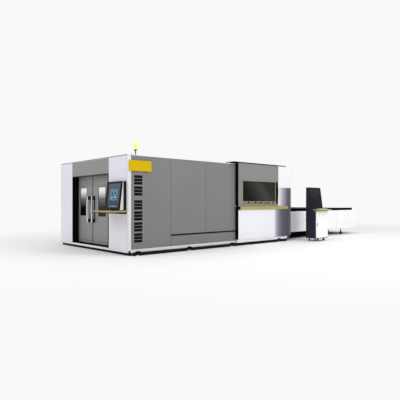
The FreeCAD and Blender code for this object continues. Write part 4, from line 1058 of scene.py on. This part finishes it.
def screen_drawing():
    """A generic sheet layout: outlines of parts nested on a sheet, and a row of status marks."""
    centre, across, up, normal, wide, tall = flat_side("console_screen", -X)
    thin, line, mid = 0.0006, 0.007, 0.02
    reach = min(wide, tall) * 0.62
    bm = bmesh.new()
    for x, y, width, height, radius in (
        (0, 0, 1, 0.74, 0.012),
        (-0.22, 0.1, 0.36, 0.36, reach * 0.17),
        (0.22, 0.13, 0.34, 0.26, 0.02),
    ):
        spot = centre + up * (mid + reach * y) + across * reach * x
        add_ring(bm, spot, across, up, normal, reach * width, reach * height, line, thin, radius)
    marks = [
        (reach * (0.1 + 0.085 * k), mid - reach * 0.16, reach * 0.05, reach * (0.2 - 0.03 * k))
        for k in range(4)
    ]
    marks.append((-reach * 0.22, mid - reach * 0.2, reach * 0.3, line * 2.4))
    marks.append((-reach * 0.26, mid - reach * 0.27, reach * 0.2, line * 1.6))
    marks += [(reach * (-0.4 + 0.2 * k), -tall / 2 + 0.04, reach * 0.12, 0.016) for k in range(5)]
    for x, y, w, h in marks:
        corner = (x + w / 2, y + h / 2, thin)
        add_block(bm, (x - w / 2, y - h / 2, 0), corner, 0.0002, 1, (centre, across, up, normal))
    new_piece("screen_drawing", bm, "screen drawing")


def button_collars():
    centre, _, _, normal, _, _ = flat_side("console_bezel", -X)
    level = centre.dot(normal)
    bm = bmesh.new()
    for name in ("stop_button", "push_button_1", "push_button_2", "push_button_3"):
        low, high = span(name)
        spot = (low + high) / 2
        spot += normal * (level - spot.dot(normal))
        inner = (high.y - low.y) / 2 + 0.002
        reach = inner + 0.004
        profile = [(inner, 0), (reach, 0), (reach, 0.002), (reach - 0.001, 0.003), (inner, 0.003)]
        add_spin(bm, profile, spot, normal, 28, closed=True)
    new_piece("button_collars", bm, "black plastic")


def shelf_trim(low, high):
    """Bracket under the shelf, and a dark strip round the foot of its rim."""
    boxes = [((high.x - 0.03, low.y + 0.01, low.z - 0.03), (high.x, high.y - 0.1, low.z))]
    boxes += [
        ((high.x - 0.22, y, low.z - 0.022), (high.x - 0.02, y + 0.03, low.z))
        for y in (low.y + 0.12, high.y - 0.22)
    ]
    block_piece("shelf_bracket", "black coat", boxes, 0.003)
    back = high.x - 0.002
    front = bowed_front(low.x, low.y, high.y, low.z, 0.07, 6)
    path = [Vector((back, low.y, low.z)), *front, Vector((back, high.y, low.z))]
    bm = bmesh.new()
    add_sweep(bm, path, rectangle(-0.001, 0, 0.001, 0.014), Z)
    new_piece("shelf_trim", bm, "black coat")


class MACHINE_OT_console(bpy.types.Operator):
    """Cheeks, screen drawing, button collars and shelf bracket of the fixed console"""

    bl_idname = "machine.console"
    bl_label = "Console"

    def execute(self, context):
        console_cheeks()
        screen_drawing()
        button_collars()
        shelf_trim(*span("console_shelf"))
        return {"FINISHED"}


# ---- kiosk ----


def keyboard():
    low, high = span("kiosk_keyboard")
    base_high = low.z + (high.z - low.z) * 0.62
    bm = bmesh.new()
    add_block(bm, low, (high.x, high.y, base_high), 0.006, 3)
    base = new_piece("keyboard_base", bm, "key cream")
    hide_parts("kiosk_keyboard")
    rows, columns = 5, 18
    space_bar = range(4, 10)
    margin, gap = 0.012, 0.001
    step_x = (high.x - low.x - 2 * margin) / columns
    step_y = (high.y - low.y - 2 * margin) / rows
    places = [(row, column) for row in range(rows) for column in range(columns)]
    keys = [(row, column, 1) for row, column in places if row or column not in space_bar]
    keys.append((0, space_bar[0], len(space_bar)))
    bm = bmesh.new()
    for row, column, wide in keys:
        x = low.x + margin + column * step_x
        y = low.y + margin + row * step_y
        corner = (x + wide * step_x - gap, y + step_y - gap, high.z)
        add_block(bm, (x + gap, y + gap, base_high - 0.001), corner, 0.0018, 1)
    new_piece("keyboard_keys", bm, "key cream")


def mouse():
    low, high = span("kiosk_mouse")
    centre = (low + high) / 2
    half = (high - low) / 2
    cut = 0.35
    bm = bmesh.new()
    bmesh.ops.create_uvsphere(bm, u_segments=32, v_segments=20, radius=1)
    for vert in bm.verts:
        x, y, z = vert.co
        rise = (max(z, -cut) + cut) / (1 + cut) * (high.z - low.z) * 0.86
        vert.co = Vector((
            centre.x + x * half.x * (0.92 - 0.1 * y),
            centre.y + y * half.y * 0.98,
            low.z + 0.0005 + rise * min(1 - 0.22 * y, 1.14),
        ))
    piece = new_piece("mouse_shell", bm, "black plastic", smooth_angle=60)
    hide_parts("kiosk_mouse")


def kiosk_head():
    centre, across, up, normal, wide, tall = flat_side("kiosk_head", -Y)
    bm = bmesh.new()
    add_ring(bm, centre, across, up, normal, wide - 0.022, tall - 0.022, 0.02, 0.008)
    new_piece("kiosk_rim", bm, "black plastic", slot="console_navy")
    *axes, wide, tall = flat_side("kiosk_screen", -Y)
    chance = random.Random(7)
    columns, rows = 14, 15
    side, top = 0.05, 0.06
    step_x, step_y = (wide - 2 * side) / columns, (tall - 2 * top) / rows
    bm = bmesh.new()
    for row in range(rows):
        for column in range(columns):
            if chance.random() > 0.42:
                continue
            x = -wide / 2 + side + column * step_x
            y = tall / 2 - top - row * step_y
            corner = (x + step_x * chance.uniform(0.25, 0.7), y, 0.0006)
            add_block(bm, (x, y - 0.007, 0), corner, 0.0002, 1, axes)
    new_piece("kiosk_screen_marks", bm, "screen grey")
    low, high = span("kiosk_head")
    levels = [high.z - 0.09 - k * 0.02 for k in range(8)]
    block_piece("kiosk_back_vents", "black coat", [
        ((low.x + 0.1, high.y - 0.0005, z), (high.x - 0.1, high.y + 0.001, z + 0.008))
        for z in levels
    ], 0.0005, slot="console_black")


def kiosk_door():
    low = span("kiosk_door")[0]
    ring_round(
        "kiosk_door_press_line", "white coat", "kiosk_door", low, X, -Y,
        -0.05, 0.004, 0.001, 0.02, "kiosk_door",
    )
    lock_low, lock_high = span("kiosk_lock")
    spot = Vector((lock_high.x - 0.014, lock_low.y, (lock_low.z + lock_high.z) / 2))
    block_piece("lock_slot", "black plastic", [(
        (spot.x - 0.0015, spot.y - 0.002, spot.z - 0.008),
        (spot.x + 0.0015, spot.y + 0.0005, spot.z + 0.008),
    )], 0.0004, "kiosk_lock", "handle_silver")
    spot.y = low.y
    bm = bmesh.new()
    add_ring(bm, spot, X, Z, -Y, 0.044, 0.084, 0.012, 0.0015, 0.012)
    new_piece("lock_escutcheon", bm, "black plastic", "kiosk_door", "handle_silver")


class MACHINE_OT_kiosk(bpy.types.Operator):
    """Keyboard, mouse, screen rim, vents and door trim of the free-standing kiosk"""

    bl_idname = "machine.kiosk"
    bl_label = "Kiosk"

    def execute(self, context):
        keyboard()
        mouse()
        kiosk_head()
        kiosk_door()
        return {"FINISHED"}


# ---- exchange table ----


def painted_shadow_tray(low, high):
    """A black tray hung between the table's beams, two open boxes of thin plate, put there as painted
    shadow under the table.
    """
    near, far = low.y + 0.24, high.y - 0.24
    top = span("exchange_frame")[0].z - 0.001
    middle = low.x + 2.9
    thick = 0.006
    boxes = []
    for start, end, base in (
        (low.x + 0.03, middle, 0.07), (middle + 0.001, high.x - 0.36, low.z + 0.01),
    ):
        foot, head = (start, near, base), (end, far, top)
        boxes += [
            (foot, (end, far, base + thick)), (foot, (end, near + thick, top)),
            ((start, far - thick, base), head), (foot, (start + thick, far, top)),
            ((end - thick, near, base), head),
        ]
    # painted shadow: black plate boxes under the table
    block_piece("painted_shadow_tray", "table black", boxes, 0.002)


def cover_seams(low, high, starts):
    top = solids("exchange_covers")[0][1].z
    sides = ((low.y - 0.0008, low.y + 0.001), (high.y - 0.001, high.y + 0.0008))
    block_piece("cover_seams", "black coat", [
        ((x - 0.002, near, low.z + 0.004), (x + 0.002, far, top - 0.004))
        for x in starts for near, far in sides
    ], 0.0002)


def cover_bolts(low, high, starts, step):
    bm = bmesh.new()
    for x in [start + side for start in starts for side in (0.06, step - 0.06)]:
        for z in (low.z + 0.06, low.z + 0.64):
            for y, out in ((low.y, -Y), (high.y, Y)):
                add_spin(bm, screw(0.009, 0.002, 0.006, 0.005), (x, y, z), out, 16)
    new_piece("cover_bolts", bm, "rail steel")


def guide_rollers():
    """Guide rollers beside the pallet's rails."""
    low, high = span("upper_pallet")
    profile = [(0, 0), (0.02, 0), (0.022, 0.003), (0.022, 0.027), (0.02, 0.03), (0, 0.03)]
    bm = bmesh.new()
    for k in range(9):
        x = low.x + 0.2 + k * 0.46
        for y in (low.y - 0.0265, high.y + 0.0265):
            add_spin(bm, profile, (x, y, low.z + 0.002), Z, 20)
    new_piece("guide_rollers", bm, "rail steel", slot="dark_steel")


class MACHINE_OT_table(bpy.types.Operator):
    """Cover seams and bolts, guide rollers and a black tray of painted shadow under the exchange table
    """

    bl_idname = "machine.table"
    bl_label = "Exchange table"

    def execute(self, context):
        low, high = span("exchange_covers")
        count = 3
        step = (high.x - low.x) / count
        cover_seams(low, high, [low.x + k * step for k in range(1, count)])
        cover_bolts(low, high, [low.x + k * step for k in range(count)], step)
        guide_rollers()
        painted_shadow_tray(low, high)
        return {"FINISHED"}


# ---- gantry ----


class MACHINE_OT_gantry(bpy.types.Operator):
    """Guides, cable chain, head bands and nozzle of the cross beam"""

    bl_idname = "machine.gantry"
    bl_label = "Gantry"

    def execute(self, context):
        low, high = max(solids("gantry"), key=lambda box: box[1].z - box[0].z)
        bm = bmesh.new()
        for z in (low.z + 0.05, high.z - 0.08):
            corner = (high.x + 0.0003, high.y - 0.05, z + 0.03)
            add_block(bm, (high.x - 0.0002, low.y + 0.05, z), corner, 0.0001, 1)
        new_piece("beam_guides", bm, "rail steel", "gantry")
        links, end, gap = 46, 0.2, 0.003
        step = (high.y - low.y - 2 * end) / links
        starts = [low.y + end + k * step for k in range(links)]
        block_piece("cable_chain", "black plastic", [
            ((low.x + 0.05, y + gap, high.z), (low.x + 0.15, y + step - gap, high.z + 0.05))
            for y in starts
        ], 0.006, "gantry", "black_paint")
        low, high = span("cutting_head")
        centre = (low + high) / 2
        out = 0.004
        block_piece("head_bands", "black plastic", [
            ((low.x + 0.006, low.y - out, z), (high.x + out, high.y + out, z + 0.012))
            for z in (low.z + 0.22, low.z + 0.40, low.z + 0.56)
        ], 0.002, "head")
        tip = [(0.0035, 0.0), (0.0072, 0.001), (0.0115, 0.012), (0.013, 0.02), (0.0035, 0.02)]
        bm = bmesh.new()
        add_spin(bm, tip, (centre.x, centre.y, low.z), Z, 28, closed=True)
        new_piece("nozzle_tip", bm, "copper tip", "head")
        return {"FINISHED"}


# ---- far side ----


def louvres(bm, low, high):
    """Pressed louvres: sloping hoods set in a column in the sheet."""
    middle = (low.x + high.x) / 2
    for k in range(detail().louvre_count):
        z = low.z + 0.35 + k * 0.045
        corner = Vector((middle - 0.25, high.y - 0.001, z))
        add_prism(bm, [corner + Z * 0.03, corner + Y * 0.001, corner], X * 0.5)


class MACHINE_OT_far_side(bpy.types.Operator):
    """Vents, fasteners and seals of the far side"""

    bl_idname = "machine.far_side"
    bl_label = "Far side and rear"

    def execute(self, context):
        panels = solids("far_side_wall")
        vents = bmesh.new()
        for k in (1, 3):
            louvres(vents, *panels[k])
        new_piece("far_vents", vents, "side grey")
        screws = bmesh.new()
        for low, high in panels:
            for x in (low.x + 0.05, high.x - 0.05):
                for z in (low.z + 0.08, (low.z + high.z) / 2, high.z - 0.08):
                    add_spin(screws, screw(0.011, 0.002, 0.008, 0.004), (x, high.y, z), Y, 20)
        new_piece("far_fasteners", screws, "rail steel")
        block_piece("far_seals", "black rubber", [
            ((low.x - 0.016, low.y + 0.006, low.z), (low.x + 0.004, low.y + 0.018, high.z))
            for low, high in panels[1:]
        ])
        return {"FINISHED"}


# ---- stage ----


def studio_floor():
    reach = 400
    bm = bmesh.new()
    corners = [(-reach, -reach, 0), (reach, -reach, 0), (reach, reach, 0), (-reach, reach, 0)]
    bm.faces.new([bm.verts.new(c) for c in corners])
    mesh = bpy.data.meshes.new("studio_floor")
    bm.to_mesh(mesh)
    bm.free()
    tree, surface, place = shader("studio floor")
    fill(tree, surface, {
        "Base Color": ramp(tree, noise(tree, place, 0.4, 2), [(0.3, [0.84] * 3), (0.7, [0.85] * 3)]),
        "Roughness": 0.9,
        "Specular IOR Level": 0.05,
    })
    far_glow(tree, surface, place)
    mesh.materials.append(finishes["studio floor"])
    piece = add_object("studio_floor", mesh)


def far_glow(tree, surface, place):
    """Turns the floor into an even backdrop a few metres out from the machine."""
    far = add_node(tree, "VectorMath", {0: place, 1: (1.0, 1.5, 0.0)}, operation="MULTIPLY")
    length = add_node(tree, "VectorMath", {0: far.outputs["Vector"]}, operation="LENGTH")
    ends = {"From Min": 6.5, "From Max": 15.0, "Value": length.outputs["Value"]}
    share = add_node(tree, "MapRange", ends, interpolation_type="SMOOTHSTEP")
    glow = add_node(tree, "Emission", {"Strength": stage_settings().sky_seen})
    mix_shaders(
        tree, share.outputs["Result"], surface.outputs["BSDF"], glow.outputs["Emission"],
        tree.nodes["Material Output"],
    )


def studio_sky():
    """Light that is dimmest at the horizon and full overhead, before an even backdrop."""
    s = stage_settings()
    world = bpy.data.worlds.new("studio sky")
    bpy.context.scene.world = world
    world.use_nodes = True
    tree = world.node_tree
    tree.nodes.clear()
    rise = split(tree, add_node(tree, "TexCoord").outputs["Generated"])["Z"]
    dome = ramp(tree, rise, [
        (0.0, (0.5, 0.5, 0.51)), (0.25, (0.75, 0.76, 0.77)), (0.7, (1.0, 1.0, 1.0)),
    ])
    light = add_node(tree, "Background", {"Strength": s.sky_light, "Color": dome})
    seen = add_node(tree, "Background", {"Strength": s.sky_seen, "Color": (1, 1, 1, 1)})
    ray = add_node(tree, "LightPath").outputs["Is Camera Ray"]
    outputs = light.outputs["Background"], seen.outputs["Background"]
    mix_shaders(tree, ray, *outputs, add_node(tree, "OutputWorld"))
    view = bpy.context.scene.view_settings
    view.view_transform = "Standard"
    view.look = "None"


def softboxes():
    power = stage_settings().softbox
    low, high = CAD_BOX
    centre = (Vector(low) + Vector(high)) / 2
    for name, offset, size, share in (
        ("side_softbox", (2.0, -13.0, 8.0), 10.0, 1.0),
        ("end_softbox", (-15.0, 1.0, 8.0), 9.0, 0.55),
        ("top_softbox", (0.0, 0.0, 11.0), 14.0, 0.6),
    ):
        data = bpy.data.lights.new(name, "AREA")
        data.shape = "SQUARE"
        data.size = size
        data.energy = power * share
        lamp = add_object(name, data)
        lamp.location = centre + Vector(offset)
        lamp.rotation_euler = (centre - lamp.location).to_track_quat("-Z", "Y").to_euler()


def view_camera():
    s = stage_settings()
    data = bpy.data.cameras.new("view")
    data.lens = s.lens
    data.sensor_width = 36
    data.shift_y = s.shift
    data.clip_start = 0.1
    data.clip_end = 1000
    camera = add_object("view", data)
    camera.location = s.camera_place
    camera.rotation_euler = (math.pi / 2, 0, -s.heading)
    bpy.context.scene.camera = camera


class MACHINE_OT_stage(bpy.types.Operator):
    """Pale floor, soft light and the camera"""

    bl_idname = "machine.stage"
    bl_label = "Stage"

    def execute(self, context):
        studio_floor()
        studio_sky()
        softboxes()
        view_camera()
        return {"FINISHED"}


OPERATORS = (
    MACHINE_OT_finish_nodes,
    MACHINE_OT_front_doors,
    MACHINE_OT_front_frame,
    MACHINE_OT_side_wall,
    MACHINE_OT_base_strips,
    MACHINE_OT_side_bay,
    MACHINE_OT_lamp,
    MACHINE_OT_console,
    MACHINE_OT_kiosk,
    MACHINE_OT_table,
    MACHINE_OT_gantry,
    MACHINE_OT_far_side,
    MACHINE_OT_stage,
)


class MACHINE_PT_panel(bpy.types.Panel):
    """Lists the machine's operators and settings in the sidebar"""

    bl_label = "Machine"
    bl_idname = "MACHINE_PT_panel"
    bl_space_type = "VIEW_3D"
    bl_region_type = "UI"
    bl_category = "Machine"

    def draw(self, context):
        for operator in OPERATORS:
            self.layout.operator(operator.bl_idname)
        for group in ("machine_paint", "machine_detail", "machine_stage"):
            settings = getattr(context.scene, group)
            box = self.layout.box()
            for key in settings.bl_rna.properties.keys():
                if key not in ("rna_type", "name"):
                    box.prop(settings, key)


CLASSES = (PaintSettings, DetailSettings, StageSettings, *OPERATORS, MACHINE_PT_panel)


def register():
    for item in CLASSES:
        bpy.utils.register_class(item)
    bpy.types.Scene.machine_paint = PointerProperty(type=PaintSettings)
    bpy.types.Scene.machine_detail = PointerProperty(type=DetailSettings)
    bpy.types.Scene.machine_stage = PointerProperty(type=StageSettings)


def unregister():
    del bpy.types.Scene.machine_stage
    del bpy.types.Scene.machine_detail
    del bpy.types.Scene.machine_paint
    for item in reversed(CLASSES):
        bpy.utils.unregister_class(item)


def main():
    register()
    for operator in OPERATORS:
        group, name = operator.bl_idname.split(".")
        getattr(getattr(bpy.ops, group), name)()


if __name__ == "__main__":
    main()
